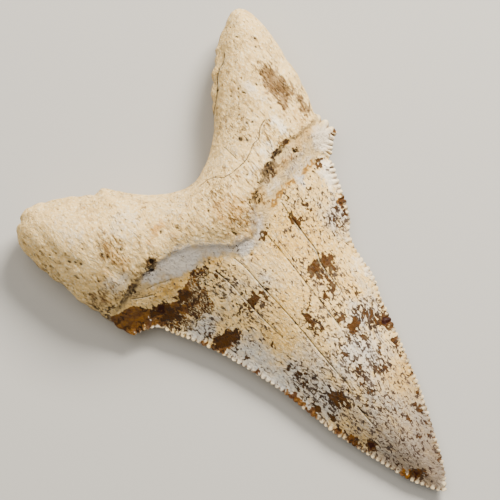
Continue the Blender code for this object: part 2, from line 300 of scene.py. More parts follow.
upper, upper_triangles, upper_rim = face_triangles(UPPER_GRID)
lower, lower_triangles, lower_rim = face_triangles(LOWER_GRID)
smooth_loop = rim_place[::3]
upper_distance = in_chunks(rim_distance, upper, smooth_loop)
lower_distance = in_chunks(rim_distance, lower, smooth_loop)
upper_distance[upper_rim] = 0
lower_distance[lower_rim] = 0
dome = dome_height(upper, upper_distance)
seen = upper + np.outer(dome - READING_HEIGHT, LEAN)


# Tooth: the neck
# The root ends in a worn overhanging edge. Below it lies the bourlette, a thin sunk band of softer
# tissue, and below that the enamel starts with a small step.
ROOT_EDGE = [(-29.0, -7.6), (-25.8, -8.2), (-22.0, -7.2), (-17.5, -6.2), (-13.0, -6.1), (-9.0, -6.9),
             (-6.0, -8.3), (-3.7, -10.2), (-1.0, -12.2), (1.5, -12.9), (4.0, -12.6), (5.5, -10.8),
             (7.3, -8.2), (10.3, -6.6), (14.0, -4.9), (18.0, -3.7), (23.0, -3.9), (28.0, -3.2)]
ENAMEL_EDGE = [(-29.0, -8.0), (-21.0, -8.5), (-15.5, -9.4), (-11.5, -10.8), (-7.5, -11.0), (-4.5, -11.7),
               (-1.5, -14.2), (1.0, -15.1), (4.5, -14.6), (6.8, -12.7), (10.5, -10.6), (14.0, -9.5),
               (16.3, -10.9), (19.0, -9.9), (23.0, -8.6), (28.0, -7.2)]
EDGE_WAVES = [(0.16, 1.7, 0.4), (0.1, 4.1, 1.9), (0.07, 7.3, 0.7)]
SCARP_WIDTH = 0.45
BOURLETTE_DEPTH = 0.6
ENAMEL_STEP_WIDTH = 2.2
EDGE_MARGIN = 2.0
PITS = [(18.8, -6.0, 0.25, 0.5, 35, 1.0), (-14.3, -5.4, 0.5, 0.35, 40, 0.6), (-15.2, -6.5, 0.45, 0.3, 0, 0.7),
        (-25.9, -7.0, 0.4, 0.25, 0, 0.6), (13.3, -5.1, 0.4, 0.3, 20, 0.5), (15.4, -4.4, 0.5, 0.25, 20, 0.4),
        (10.3, -6.7, 0.22, 0.22, 0, 0.4), (12.5, 2.0, 0.25, 0.6, 0, 0.5), (13.3, 1.0, 0.18, 0.5, 0, 0.3),
        (0.5, -15.8, 0.28, 0.24, -20, 0.7), (4.2, -16.6, 0.22, 0.2, 0, 0.6), (7.8, -9.1, 0.25, 0.5, 0, 0.4),
        (-6.7, -3.5, 0.18, 0.7, 15, 0.4), (-9.5, -2.2, 0.35, 0.2, 20, 0.4), (-0.4, -4.7, 0.2, 0.3, 0, 0.3),
        (0.6, -11.0, 0.2, 0.9, 15, 0.4), (9.2, -4.0, 0.22, 0.22, 0, 0.3), (6.3, -8.4, 0.2, 0.3, 0, 0.3),
        (-25.8, 4.2, 0.18, 0.45, 25, 0.3), (-25.1, 3.3, 0.18, 0.4, 25, 0.3), (-24.6, 2.5, 0.2, 0.4, 20, 0.3),
        (-26.7, 1.1, 0.18, 0.75, 20, 0.35), (-22.5, 4.4, 0.18, 0.4, 20, 0.3), (-27.9, 7.5, 0.22, 0.22, 0, 0.3),
        (-29.6, 7.9, 0.2, 0.2, 0, 0.3), (-30.6, 5.1, 0.25, 0.2, 0, 0.3), (-28.2, 9.4, 0.2, 0.2, 0, 0.2),
        (-27.1, -2.9, 0.22, 0.4, 20, 0.4), (-24.0, -2.0, 0.2, 0.4, 15, 0.3), (-26.9, -4.1, 0.5, 0.2, -10, 0.3),
        (-17.1, -0.2, 0.2, 0.4, 0, 0.3), (19.9, 10.8, 0.2, 0.35, 0, 0.3), (18.2, 9.6, 0.2, 0.35, 0, 0.3),
        (18.5, 8.4, 0.18, 0.7, 20, 0.3), (16.9, 10.1, 0.2, 0.35, 0, 0.3), (16.3, 9.5, 0.2, 0.2, 0, 0.3),
        (21.3, 8.0, 0.18, 0.5, 0, 0.3), (13.9, 3.2, 0.18, 0.4, 0, 0.3), (15.3, 3.7, 0.18, 0.3, 0, 0.3),
        (16.2, 3.1, 0.2, 0.25, 0, 0.3), (20.5, 2.9, 0.18, 0.4, 0, 0.3), (26.0, 13.7, 0.25, 0.25, 0, 0.2),
        (26.8, 15.1, 0.25, 0.2, 0, 0.2), (24.4, 17.4, 0.2, 0.6, 45, 0.2), (15.1, 12.0, 0.4, 0.22, 20, 0.4)]
# Shallow hollows and swellings, without the painted shade that darkens the pits.
HOLLOWS = [(24.2, 6.0, 2.2, 4.2, 0, 0.45), (-30.0, 6.0, 2.2, 7.0, -5, 0.4), (-26.9, 9.0, 1.0, 5.0, 0, 0.35),
           (-25.4, 3.0, 0.7, 2.4, 20, 0.3), (-14.6, -5.4, 1.4, 1.2, 0, -0.5), (-13.5, 3.0, 3.5, 3.5, 0, -0.3),
           (12.8, -6.3, 2.0, 1.0, 20, 0.4), (17.0, -6.6, 2.0, 0.8, 15, -0.35), (-20.5, -3.5, 1.0, 3.0, 10, 0.3),
           (-18.0, 2.0, 2.0, 3.5, 0, -0.3), (21.0, 1.5, 0.8, 4.5, 0, -0.3), (14.0, 6.0, 2.5, 1.6, 40, 0.3),
           (-27.6, -4.0, 1.4, 1.0, 0, 0.35), (-28.4, -2.6, 0.6, 0.5, 0, -0.3), (6.0, -6.0, 1.0, 3.0, -10, 0.3)]
LEDGE = [(10.1, 7.4), (12.2, 9.6), (14.8, 11.7), (16.9, 14.2), (19.2, 15.6), (21.7, 17.4)]
LEDGE_DROP = 0.8
LEDGE_WIDTH = 0.4
LEDGE_FADE = 2.0


def line_side(points, line):
    """Signed distance from a line of short chords, above 0 on its right-hand side, and how far
    past its ends each point is."""
    chord = np.diff(line, axis=0)
    to_point = points[:, None] - line[None, :-1]
    length = (chord ** 2).sum(axis=1)
    share = (to_point * chord).sum(axis=2) / length
    gap = to_point - np.clip(share, 0, 1)[..., None] * chord
    nearest = (gap ** 2).sum(axis=2).argmin(axis=1)
    row = np.arange(len(points))
    gap, chord, share = gap[row, nearest], chord[nearest], share[row, nearest]
    right = chord[:, 1] * gap[:, 0] - chord[:, 0] * gap[:, 1]
    past = np.where(nearest == 0, -share, 0) + np.where(nearest == len(line) - 2, share - 1, 0)
    past = np.maximum(past, 0) * np.sqrt(length[nearest])
    return np.column_stack([np.sign(right) * np.linalg.norm(gap, axis=1), past])


def oval(points, x, y, half_width, half_height, turn):
    """How far each point is from the centre of a turned oval, in units of the oval."""
    across, along = math.cos(math.radians(turn)), math.sin(math.radians(turn))
    from_centre = points - (x, y)
    u = (from_centre[:, 0] * across + from_centre[:, 1] * along) / half_width
    v = (from_centre[:, 1] * across - from_centre[:, 0] * along) / half_height
    return np.hypot(u, v)


def worn(line):
    """A fine curve through given points, with small waves across it."""
    line = curve_through(line, 0.3)
    line[:, 1] += sum(height * np.sin(line[:, 0] * rate + start) for height, rate, start in EDGE_WAVES)
    return line


past_root = in_chunks(line_side, seen, worn(ROOT_EDGE))[:, 0]
past_enamel = in_chunks(line_side, seen, worn(ENAMEL_EDGE))[:, 0]
ledge = curve_through(LEDGE, 0.5)
past_ledge = in_chunks(line_side, seen, ledge)[:, 0]

away_from_rim = smooth_step(upper_distance / EDGE_MARGIN)
upper_height = dome + band_height(upper, upper_distance)
bourlette = smooth_step(past_root / SCARP_WIDTH) - smooth_step(past_enamel / ENAMEL_STEP_WIDTH)
upper_height -= BOURLETTE_DEPTH * np.clip(bourlette, 0, 1) * away_from_rim
beside_ledge = (smooth_step((seen[:, 0] - ledge[0, 0]) / LEDGE_FADE)
                * smooth_step((ledge[-1, 0] - seen[:, 0]) / LEDGE_FADE))
upper_height -= LEDGE_DROP * smooth_step(-past_ledge / LEDGE_WIDTH) * beside_ledge * away_from_rim
# pit_share marks where the material paints shade into the pits.
pit_share = np.zeros(len(upper))
for x, y, half_width, half_height, turn, depth in PITS:
    pit = np.exp(-oval(seen, x, y, half_width, half_height, turn) ** 2)
    upper_height -= depth * pit
    pit_share = np.maximum(pit_share, pit)
for *shape, depth in HOLLOWS:
    upper_height -= depth * np.exp(-oval(seen, *shape) ** 2) * away_from_rim


# Tooth: the underside
# The labial face is nearly flat. The tooth lies on it, and the enamel's foot is a shallow groove.
CROWN_UNDER_SLOPE = 0.75
ROOT_UNDER_ROUNDNESS = 3.6
UNDER_NECK = [(-30.0, -7.0), (-18.0, -8.0), (-8.0, -6.0), (0.0, -5.0), (8.0, -5.5), (18.0, -6.5),
              (29.0, -5.0)]
UNDER_NECK_WIDTH = 4.0
UNDER_GROOVE_DEPTH = 0.6
UNDER_GROOVE_WIDTH = 1.6
UNDER_DISH_CENTRE = (-0.5, 1.0)
UNDER_DISH_REACH = (7.0, 5.5)
UNDER_DISH_DEPTH = 1.6
UNDER_SOFTNESS = 0.8

under_line = worn(UNDER_NECK)
under_crown = past_line(lower, under_line + (0, UNDER_NECK_WIDTH / 2), UNDER_NECK_WIDTH)
drop = (CROWN_UNDER_SLOPE * lower_distance * under_crown
        + ROOT_UNDER_ROUNDNESS * np.sqrt(lower_distance) * (1 - under_crown))
above = rim_height(lower) - drop - band_height(lower, lower_distance)
soft = (above + UNDER_SOFTNESS) ** 2 / (4 * UNDER_SOFTNESS)
above = np.where(above > UNDER_SOFTNESS, above, np.where(above < -UNDER_SOFTNESS, 0, soft))
past_under_neck = in_chunks(line_side, lower, under_line)[:, 0]
hollow = UNDER_GROOVE_DEPTH * np.exp(-(past_under_neck / UNDER_GROOVE_WIDTH) ** 2)
hollow += UNDER_DISH_DEPTH * mound(lower, UNDER_DISH_CENTRE, UNDER_DISH_REACH)
lower_height = np.maximum(above, hollow)


# Tooth: cracks
# Drying and pressure opened fine cracks along the crown and a few across the root.
CRACKS = [(0.08, [(-2.3, -14.3), (-1.9, -17.0), (-1.8, -21.5), (-1.6, -25.0), (-1.4, -30.0), (-1.4, -36.0),
                  (-1.4, -43.0), (-1.3, -46.0)]),
          (0.07, [(5.0, -15.0), (5.0, -20.0), (4.85, -26.0), (4.7, -31.0), (4.5, -36.5)]),
          (0.03, [(6.0, -15.0), (5.8, -20.0), (5.8, -24.0)]),
          (0.09, [(10.8, -12.0), (10.5, -15.0), (10.3, -19.0), (10.1, -23.0), (9.3, -25.0), (9.1, -27.5),
                  (8.9, -31.0)]),
          (0.06, [(-6.6, -14.0), (-6.1, -16.0), (-5.8, -19.0), (-5.6, -24.0), (-5.3, -28.0), (-5.0, -31.0)]),
          (0.08, [(-2.5, -50.0), (-2.5, -52.0), (-2.5, -54.0)]),
          (0.04, [(1.4, -51.0), (1.2, -54.0)]),
          (0.05, [(1.5, 0.0), (3.5, -0.1), (4.8, -0.9), (5.5, -1.7), (8.0, -1.9), (11.0, -1.7), (13.5, -0.4),
                  (15.2, -0.1), (16.6, 1.3), (18.0, 1.8)]),
          (0.04, [(9.2, 2.9), (9.4, 1.2), (9.6, -0.6)]),
          (0.04, [(16.6, -0.4), (16.4, -1.6), (16.0, -3.0)]),
          (0.07, [(-21.5, -8.2), (-19.8, -9.3), (-18.2, -10.1)]),
          (0.05, [(-18.0, -8.6), (-16.2, -9.0), (-14.8, -9.6), (-13.6, -10.0)]),
          (0.09, [(10.8, 8.3), (12.0, 9.4), (14.2, 11.2), (15.6, 12.6), (16.8, 14.2), (18.0, 15.1), (19.2, 15.5),
                  (20.5, 16.6)])]
CRACK_REACH = 0.4
CRACK_DEPTH = 0.12

crack_side = np.full(len(upper), 9.0)
crack_width = np.zeros(len(upper))
for width, line in CRACKS:
    side, past = in_chunks(line_side, seen, curve_through(line, 1.0)).T
    nearer = np.abs(side) < np.abs(crack_side)
    span = width * (1 - smooth_step(past / CRACK_REACH)) * smooth_step(2 * (1.5 - np.abs(side) / CRACK_REACH))
    crack_side[nearer] = side[nearer]
    crack_width[nearer] = span[nearer]
upper_height -= CRACK_DEPTH * (crack_width > 0) * np.exp(-(crack_side / 0.2) ** 2)


# Tooth: stains
# Iron and manganese from the ground soaked in where the surface was open. Each patch is x, y, half its
# width, half its height, its turn in degrees and how solid it is.
# The shelf of clean enamel above the left shoulder's stain ends along this line.
SHELF = [(-30.0, -6.0), (-26.0, -8.6), (-22.3, -9.4), (-20.6, -11.6), (-17.6, -12.5), (-15.3, -13.9),
         (-14.7, -12.5), (-12.2, -12.5), (-10.8, -11.6), (-9.0, -10.9), (-5.0, -11.5)]
BROWN = [(-18.9, -13.1, 1.6, 0.8, -15, 1.6), (-18.2, -15.0, 1.6, 1.4, -30, 1.0), (-26.2, -9.9, 0.9, 0.35, 20, 0.9),
         (-25.7, -11.8, 0.6, 0.4, 0, 0.9), (-21.4, -10.9, 0.3, 1.0, 20, 0.9), (-23.8, -13.1, 1.0, 0.35, 0, 0.9),
         (-27.4, -9.0, 0.5, 1.0, 0, 0.9), (-24.4, -9.4, 0.6, 0.3, 0, 0.8), (13.4, -5.0, 0.5, 0.35, 20, 0.8),
         (14.8, -4.5, 0.5, 0.3, 20, 0.75), (16.2, -4.2, 0.6, 0.3, 0, 0.75), (18.2, -3.7, 1.0, 0.35, -8, 0.8),
         (20.3, -3.6, 0.4, 0.3, 0, 0.8), (12.9, -6.5, 1.0, 0.9, 0, 0.55), (7.6, -8.2, 1.2, 1.0, 0, 0.5),
         (18.9, -6.0, 0.9, 0.5, 35, 0.7), (21.1, -10.4, 1.0, 0.35, 38, 1.1), (10.3, -6.6, 0.4, 0.3, 0, 1.0),
         (-20.0, -7.0, 1.3, 0.5, 10, 0.5), (-15.2, -6.3, 1.2, 0.7, 10, 0.6), (-14.0, -5.0, 0.9, 0.6, 30, 0.5),
         (-26.0, -7.3, 1.6, 0.6, 0, 0.5), (-23.5, -7.6, 1.4, 0.4, 0, 0.35), (-28.2, -6.2, 0.8, 1.2, 0, 0.45), (-17.2, -17.2, 0.7, 1.0, 0, 1.0),
         (-16.9, -19.0, 0.5, 0.9, 0, 1.0), (-14.2, -14.2, 1.3, 1.0, -40, 1.1), (-11.9, -14.4, 0.9, 0.6, 0, 1.0),
         (-9.6, -12.6, 0.35, 1.2, 40, 1.0), (-14.2, -15.3, 3.0, 0.35, -12, 0.9), (-12.4, -16.0, 2.0, 0.3, -12, 0.9),
         (-14.5, -17.5, 0.6, 1.9, 5, 0.95), (-12.3, -18.2, 0.7, 1.2, 0, 1.0), (-11.2, -17.0, 0.3, 1.3, -10, 1.0),
         (-10.7, -14.3, 0.25, 1.6, 0, 0.9), (-12.0, -19.4, 1.0, 0.2, 0, 0.8), (-15.8, -18.9, 1.4, 0.25, 35, 0.9),
         (-8.6, -13.8, 1.8, 2.2, 0, 0.62), (-19.3, -17.0, 1.2, 2.2, 25, 0.6), (-13.8, -19.1, 0.25, 0.8, 0, 0.9),
         (-13.2, -25.1, 2.6, 1.1, -6, 1.25), (-11.2, -26.1, 1.0, 0.3, 15, 0.9), (-12.7, -27.1, 1.2, 0.25, 0, 0.85),
         (-12.9, -27.8, 0.8, 0.14, -5, 0.9), (-15.7, -22.4, 0.2, 0.8, -40, 1.0), (-15.0, -22.7, 0.25, 1.0, -40, 1.0),
         (-3.6, -22.5, 1.7, 0.7, 5, 1.25), (-5.2, -22.6, 0.6, 1.0, 0, 1.25), (-6.1, -22.7, 0.25, 1.2, 0, 0.95),
         (-7.5, -20.9, 0.22, 1.1, 0, 0.95), (-8.1, -22.7, 0.2, 0.8, -40, 0.95), (-5.9, -20.2, 0.4, 0.5, 0, 0.95),
         (-4.7, -20.7, 0.25, 0.4, 0, 0.95), (-3.6, -24.2, 0.35, 0.4, 0, 1.0), (-2.5, -23.8, 0.22, 0.6, 0, 0.9),
         (-6.9, -23.8, 0.4, 0.4, 0, 0.8), (-7.1, -31.0, 0.35, 0.5, 0, 1.1), (-3.5, -17.6, 0.4, 0.2, -20, 1.1),
         (-8.3, -18.2, 0.3, 0.3, 0, 0.9), (-9.2, -18.9, 0.2, 0.25, 0, 0.9), (-6.8, -14.5, 0.4, 0.4, 0, 0.9),
         (-12.4, -30.2, 0.3, 0.3, 0, 1.0), (-10.4, -31.1, 0.25, 0.2, 0, 0.9), (-9.3, -34.1, 0.25, 0.25, 0, 0.9),
         (10.5, -16.2, 0.45, 1.6, 0, 1.3), (11.2, -16.8, 0.3, 0.8, -20, 1.2), (11.9, -17.1, 0.32, 0.35, 0, 1.2),
         (11.8, -12.0, 0.45, 0.4, 0, 1.0), (13.8, -11.3, 0.25, 0.25, 0, 0.9), (16.3, -13.2, 0.4, 0.4, 0, 1.0),
         (14.0, -16.1, 0.35, 0.35, 0, 1.1), (13.9, -14.8, 0.5, 0.4, 0, 0.75), (12.1, -14.5, 0.25, 0.25, 0, 0.9),
         (15.4, -15.7, 0.25, 0.2, 0, 0.9), (16.3, -20.5, 0.7, 0.3, 0, 1.1), (16.4, -21.8, 0.35, 0.6, 0, 1.1),
         (15.5, -19.1, 0.35, 0.2, 0, 0.9), (13.9, -22.4, 0.2, 0.4, 0, 0.9), (14.8, -22.8, 0.3, 0.25, 0, 0.9),
         (19.9, -19.0, 0.8, 0.5, 30, 1.3), (20.3, -18.1, 0.6, 0.4, 30, 1.3), (18.4, -18.9, 0.6, 0.5, 0, 0.95),
         (19.4, -20.3, 0.6, 0.3, 20, 1.0), (18.7, -21.2, 0.5, 0.3, 20, 1.0), (22.2, -12.7, 0.8, 0.25, -25, 1.1),
         (20.8, -10.5, 1.2, 0.35, 38, 1.15), (21.8, -10.0, 0.4, 0.3, 0, 1.1),
         (8.0, -25.3, 1.4, 1.1, -10, 1.25), (6.4, -25.5, 1.1, 0.35, 15, 1.0), (10.4, -25.6, 1.1, 1.4, 0, 1.3),
         (9.9, -27.3, 0.5, 0.5, 0, 1.15), (9.9, -24.0, 0.3, 0.6, 0, 1.0), (7.6, -26.8, 0.9, 0.5, 30, 0.85),
         (8.6, -27.7, 0.3, 0.9, 0, 0.95), (8.2, -29.4, 0.45, 1.2, 0, 0.95), (5.8, -30.5, 0.5, 0.7, 0, 1.15),
         (7.0, -29.8, 1.0, 0.6, 0, 0.72), (7.1, -28.3, 0.8, 0.2, -35, 0.9),
         (0.8, -31.2, 0.8, 0.9, 0, 1.25), (1.8, -29.8, 1.0, 0.3, 10, 1.0), (3.2, -29.6, 0.6, 0.4, 0, 0.75),
         (0.3, -33.2, 0.5, 0.9, 0, 1.0), (1.2, -32.8, 0.7, 0.8, 0, 0.8), (0.6, -34.7, 0.5, 0.4, 0, 1.0),
         (1.7, -34.9, 0.4, 0.4, 0, 0.9), (-0.7, -31.0, 0.5, 0.25, 0, 0.9), (10.7, -33.8, 0.8, 0.4, 0, 0.85),
         (5.2, -33.8, 0.3, 0.5, 0, 1.0), (6.4, -33.0, 0.5, 0.2, 0, 0.8),
         (-7.4, -36.5, 0.7, 0.9, 0, 0.72), (-6.8, -38.4, 1.0, 0.9, 0, 0.8), (-7.5, -40.5, 1.7, 0.7, 0, 0.72),
         (-8.9, -42.8, 0.6, 0.35, 0, 1.0), (-6.7, -42.7, 1.0, 0.3, 0, 0.95), (-7.8, -44.4, 1.1, 0.25, 10, 0.95),
         (-8.6, -45.7, 0.6, 0.5, 0, 1.1), (-4.9, -45.9, 1.0, 1.9, 0, 1.1), (-3.6, -46.8, 0.8, 1.3, 0, 1.0),
         (-3.4, -48.8, 0.6, 0.5, 0, 1.05), (-1.8, -46.1, 0.4, 0.8, 0, 0.9), (-7.4, -48.3, 0.45, 1.1, 0, 1.0),
         (0.9, -46.8, 0.8, 0.3, 10, 0.95), (1.1, -47.6, 0.4, 0.3, 0, 0.95), (1.0, -49.0, 0.6, 1.0, 0, 0.72),
         (2.1, -44.6, 0.8, 1.6, 0, 0.68), (1.1, -40.2, 0.6, 0.25, 0, 0.95), (2.1, -40.6, 0.5, 0.6, 0, 1.0),
         (2.2, -39.4, 0.3, 0.35, 0, 0.9), (5.6, -35.4, 1.2, 0.5, -20, 1.0), (6.4, -37.9, 1.4, 1.0, 15, 1.3),
         (6.4, -40.6, 0.9, 0.8, 0, 0.95), (8.9, -36.0, 1.0, 0.6, 0, 0.8), (9.8, -38.2, 1.2, 1.2, 0, 1.0),
         (10.4, -39.8, 1.4, 1.0, 0, 0.85), (11.9, -41.2, 1.3, 1.0, 0, 1.5), (11.7, -43.1, 0.8, 0.8, 0, 1.2),
         (10.6, -45.3, 0.9, 0.6, 40, 1.2), (13.7, -37.4, 0.8, 0.3, 20, 1.05), (13.4, -38.6, 0.7, 0.3, 20, 1.05),
         (4.8, -46.8, 1.0, 1.2, 0, 0.8), (6.2, -47.3, 0.4, 1.3, 10, 0.95), (5.9, -48.5, 0.5, 0.4, 0, 1.05),
         (7.1, -44.5, 0.5, 0.3, 20, 0.95), (8.6, -42.8, 0.3, 0.2, 0, 0.9), (4.2, -38.9, 0.8, 0.4, 0, 0.8),
         (9.7, -47.7, 0.3, 0.8, -20, 0.95), (10.2, -49.6, 0.7, 0.4, 20, 0.95), (-8.5, -50.7, 1.0, 0.25, 0, 0.9),
         (-2.5, -50.3, 0.6, 0.3, 0, 0.95), (-1.2, -50.2, 0.5, 0.3, 0, 0.95), (0.9, -50.9, 0.9, 0.2, 35, 0.95),
         (-7.1, -52.2, 1.1, 0.15, 15, 0.9), (-6.9, -54.9, 0.8, 0.6, -30, 1.1), (-5.9, -55.5, 0.25, 0.7, -30, 0.9),
         (-5.1, -57.0, 0.7, 1.1, 0, 1.45), (-4.3, -57.6, 0.35, 0.4, 0, 1.1), (-4.1, -60.9, 0.6, 0.25, 0, 1.0),
         (-3.7, -63.0, 0.3, 0.3, 0, 1.0), (-1.9, -66.3, 1.3, 0.9, -10, 1.4), (2.8, -54.9, 0.3, 0.5, 30, 1.0),
         (3.0, -52.8, 0.5, 0.25, 30, 1.0), (2.5, -56.3, 0.25, 0.4, 0, 1.0), (3.0, -57.3, 0.35, 0.6, 0, 1.0),
         (6.0, -57.4, 0.7, 1.3, 0, 0.8), (7.0, -58.3, 0.25, 0.5, 0, 1.0), (5.6, -60.5, 0.5, 0.25, 0, 1.0),
         (2.8, -61.3, 0.8, 0.3, 0, 0.95), (3.8, -62.3, 0.25, 0.3, 0, 1.0), (2.4, -62.8, 0.22, 0.3, 0, 1.0),
         (9.0, -51.8, 0.35, 0.4, 0, 1.0), (7.6, -55.0, 0.3, 0.25, 0, 1.0), (2.9, -67.0, 0.9, 0.22, 0, 1.0),
         (0.4, -68.3, 0.35, 0.3, 0, 1.0), (2.2, -69.0, 0.3, 0.3, 0, 1.0), (0.5, -71.0, 0.4, 0.3, 0, 0.9),
         (4.3, -14.5, 0.7, 0.45, 20, 1.15), (-1.0, -13.3, 0.5, 0.25, -20, 0.9), (-1.4, -14.3, 0.2, 0.5, 30, 0.9),
         (6.3, -13.7, 0.3, 0.3, 0, 0.95)]
AMBER = [(-24.4, -10.8, 3.2, 2.8, -20, 1.3), (-21.6, -12.2, 1.4, 2.2, 0, 1.3), (-19.0, -14.2, 2.0, 1.8, -30, 1.3),
         (-16.0, -15.2, 2.2, 1.4, -20, 1.2), (-13.3, -14.6, 2.0, 1.7, -20, 1.2), (-11.4, -13.4, 1.3, 1.4, 20, 1.1),
         (-9.6, -12.6, 1.3, 1.4, 40, 0.95), (-16.9, -17.3, 1.0, 1.7, 10, 1.0), (-14.3, -17.4, 1.0, 1.8, 5, 1.0),
         (-12.2, -17.4, 1.4, 1.8, 0, 1.05), (-10.8, -16.0, 0.8, 1.8, 0, 0.9), (-18.8, -17.0, 1.0, 1.6, 25, 0.8),
         (-8.4, -13.6, 0.9, 1.6, 0, 0.6), (-13.2, -25.2, 2.9, 1.3, -6, 1.2), (-15.2, -25.6, 0.6, 1.4, 30, 1.0),
         (-10.4, -41.5, 0.8, 2.4, 8, 1.0), (-9.6, -45.6, 0.6, 1.8, 8, 1.0), (-8.3, -51.0, 0.6, 1.4, 10, 0.8),
         (-7.2, -54.6, 0.9, 1.1, 0, 1.1), (-3.7, -65.1, 0.6, 1.2, 10, 1.2), (-13.8, -31.0, 0.7, 1.0, 0, 0.7),
         (-12.8, -33.0, 0.7, 1.2, 0, 0.7), (12.0, -41.5, 1.3, 1.6, 0, 0.9), (10.6, -45.3, 0.9, 0.8, 40, 0.9),
         (19.9, -18.8, 1.1, 0.9, 30, 1.0), (26.9, -7.5, 0.7, 0.4, 20, 1.2), (-16.8, -23.2, 0.7, 0.5, 0, 0.8),
         (6.4, -37.9, 1.2, 0.9, 15, 1.0), (0.9, -31.2, 0.7, 0.9, 0, 0.9), (8.0, -25.4, 1.1, 0.9, -10, 0.9),
         (10.5, -25.6, 0.9, 1.1, 0, 0.9), (-3.6, -22.5, 1.4, 0.5, 5, 0.9), (-3.9, -46.3, 1.0, 1.0, 0, 0.8)]
# Thin light lines branch through the left shoulder's stain.
FINGERS = [(-13.5, -18.2, 4.5, 1.5, 0, 1.0), (-9.8, -14.3, 2.0, 2.4, 20, 0.9), (-18.8, -17.9, 1.2, 1.8, 20, 0.9),
           (-13.0, -15.4, 2.2, 0.4, -10, 0.7)]
FLECKS = [(2.0, -44.0, 8.0, 8.0, 0, 0.7), (-7.0, -41.0, 2.2, 4.5, 0, 1.0), (1.5, -46.5, 2.2, 3.0, 0, 1.1),
          (5.5, -47.0, 2.2, 2.2, 0, 1.1), (10.0, -38.5, 2.6, 3.6, 0, 1.2), (6.5, -32.0, 4.0, 3.5, 0, 0.8),
          (7.5, -28.0, 3.6, 4.5, 0, 0.8), (1.5, -33.0, 2.6, 3.0, 0, 1.0), (0.0, -58.0, 8.0, 8.0, 0, 0.6),
          (-13.5, -21.5, 3.5, 2.2, 0, 0.7), (-7.5, -16.0, 3.0, 2.6, 0, 0.9), (-5.0, -23.5, 4.0, 3.0, 0, 0.8),
          (14.0, -16.0, 4.0, 5.0, 0, 0.55), (16.5, -21.0, 2.5, 2.5, 0, 0.9), (2.5, -64.0, 4.0, 5.0, 0, 0.5),
          (8.5, -17.0, 1.6, 1.2, 0, 0.6), (19.5, -19.5, 1.6, 2.0, 0, 1.0), (-4.2, -47.0, 3.0, 2.6, 0, 1.1),
          (-9.0, -26.5, 6.0, 3.0, 0, 0.4), (-5.0, -52.0, 4.0, 3.0, 0, 0.7), (6.0, -38.0, 3.0, 3.0, 0, 0.8)]
PATCH_EDGE = 1.6
SHELF_SOFTNESS = 0.3
WANDER_SIZE = 0.16
WANDER_WAVES = [(2.1, 1.3, 0.3), (-1.4, 2.7, 1.7), (3.9, -2.2, 4.1), (1.1, 4.6, 2.9), (-5.3, 0.8, 5.2)]


def wander(points):
    """Small shifts, in mm, that make a patch's border wander."""
    phases = [points[:, 0] * u + points[:, 1] * v + start for u, v, start in WANDER_WAVES]
    return WANDER_SIZE * np.stack([sum(np.sin(phase) for phase in phases),
                                   sum(np.cos(1.3 * phase) for phase in phases)], axis=1)


def below_shelf(points):
    """1 below the shelf's line or right of it, 0 above it."""
    past = in_chunks(line_side, points, curve_through(SHELF, 0.4))[:, 0]
    left = smooth_step((SHELF[-2][0] - points[:, 0]) / 1.5)
    return 1 - left * smooth_step(0.5 - past / SHELF_SOFTNESS)


def cover(points, patches):
    """How much the listed patches cover each point, fading out across each patch's border."""
    most = np.zeros(len(points))
    points = points + wander(points)
    for *shape, strength in patches:
        most = np.maximum(most, strength * np.clip(PATCH_EDGE - oval(points, *shape), 0, 1))
    return most


# Tooth: ground tones
# The enamel is cream where it is dense and blue-grey where minerals stained it; the blue-grey along the crown's left
# side and the warm patch on its upper right are partly painted shade and painted light for the sides turned away
# from and towards the lamp.
# The root's chalky dentine is cream with ochre and brown patches.
BLUE_GREY = [(-12.0, -35.0, 3.5, 9.0, 0, 1.0), (-15.5, -20.5, 3.5, 2.2, 0, 1.0), (-13.0, -29.0, 3.0, 2.5, 0, 0.9),
             (-7.0, -42.0, 4.0, 7.0, 0, 0.9), (-3.5, -38.5, 2.6, 6.0, 0, 0.6), (3.0, -44.0, 7.0, 6.0, 0, 0.7), (-1.0, -52.0, 5.0, 5.0, 0, 0.5),
             (-2.0, -61.0, 5.0, 6.0, 0, 0.8), (3.5, -59.0, 4.0, 6.0, 0, 0.7), (0.5, -69.0, 3.0, 3.0, 0, 0.9),
             (9.5, -37.0, 3.0, 3.0, 0, 0.8), (17.0, -20.5, 2.5, 3.5, 0, 0.7), (1.0, -20.0, 3.5, 5.0, 0, 0.35),
             (-9.8, -8.6, 4.6, 2.2, -8, 1.1), (-4.0, -10.8, 3.0, 1.4, -35, 0.8), (0.6, -13.6, 1.8, 1.6, 0, 0.9),
             (4.8, -11.8, 0.9, 3.0, -28, 0.9), (12.5, -8.4, 3.2, 1.4, 15, 0.15), (18.0, -7.6, 3.5, 2.2, 0, 0.4),
             (-15.8, -7.6, 1.6, 1.4, 0, 0.9), (-21.8, -4.6, 2.6, 1.6, 0, 0.9), (14.5, -3.2, 1.6, 1.6, 0, 0.6),
             (16.2, -11.0, 0.8, 1.6, 0, 0.8), (-6.5, -19.0, 3.0, 3.0, 0, 0.35), (13.0, -33.0, 3.0, 4.0, 0, 0.4)]
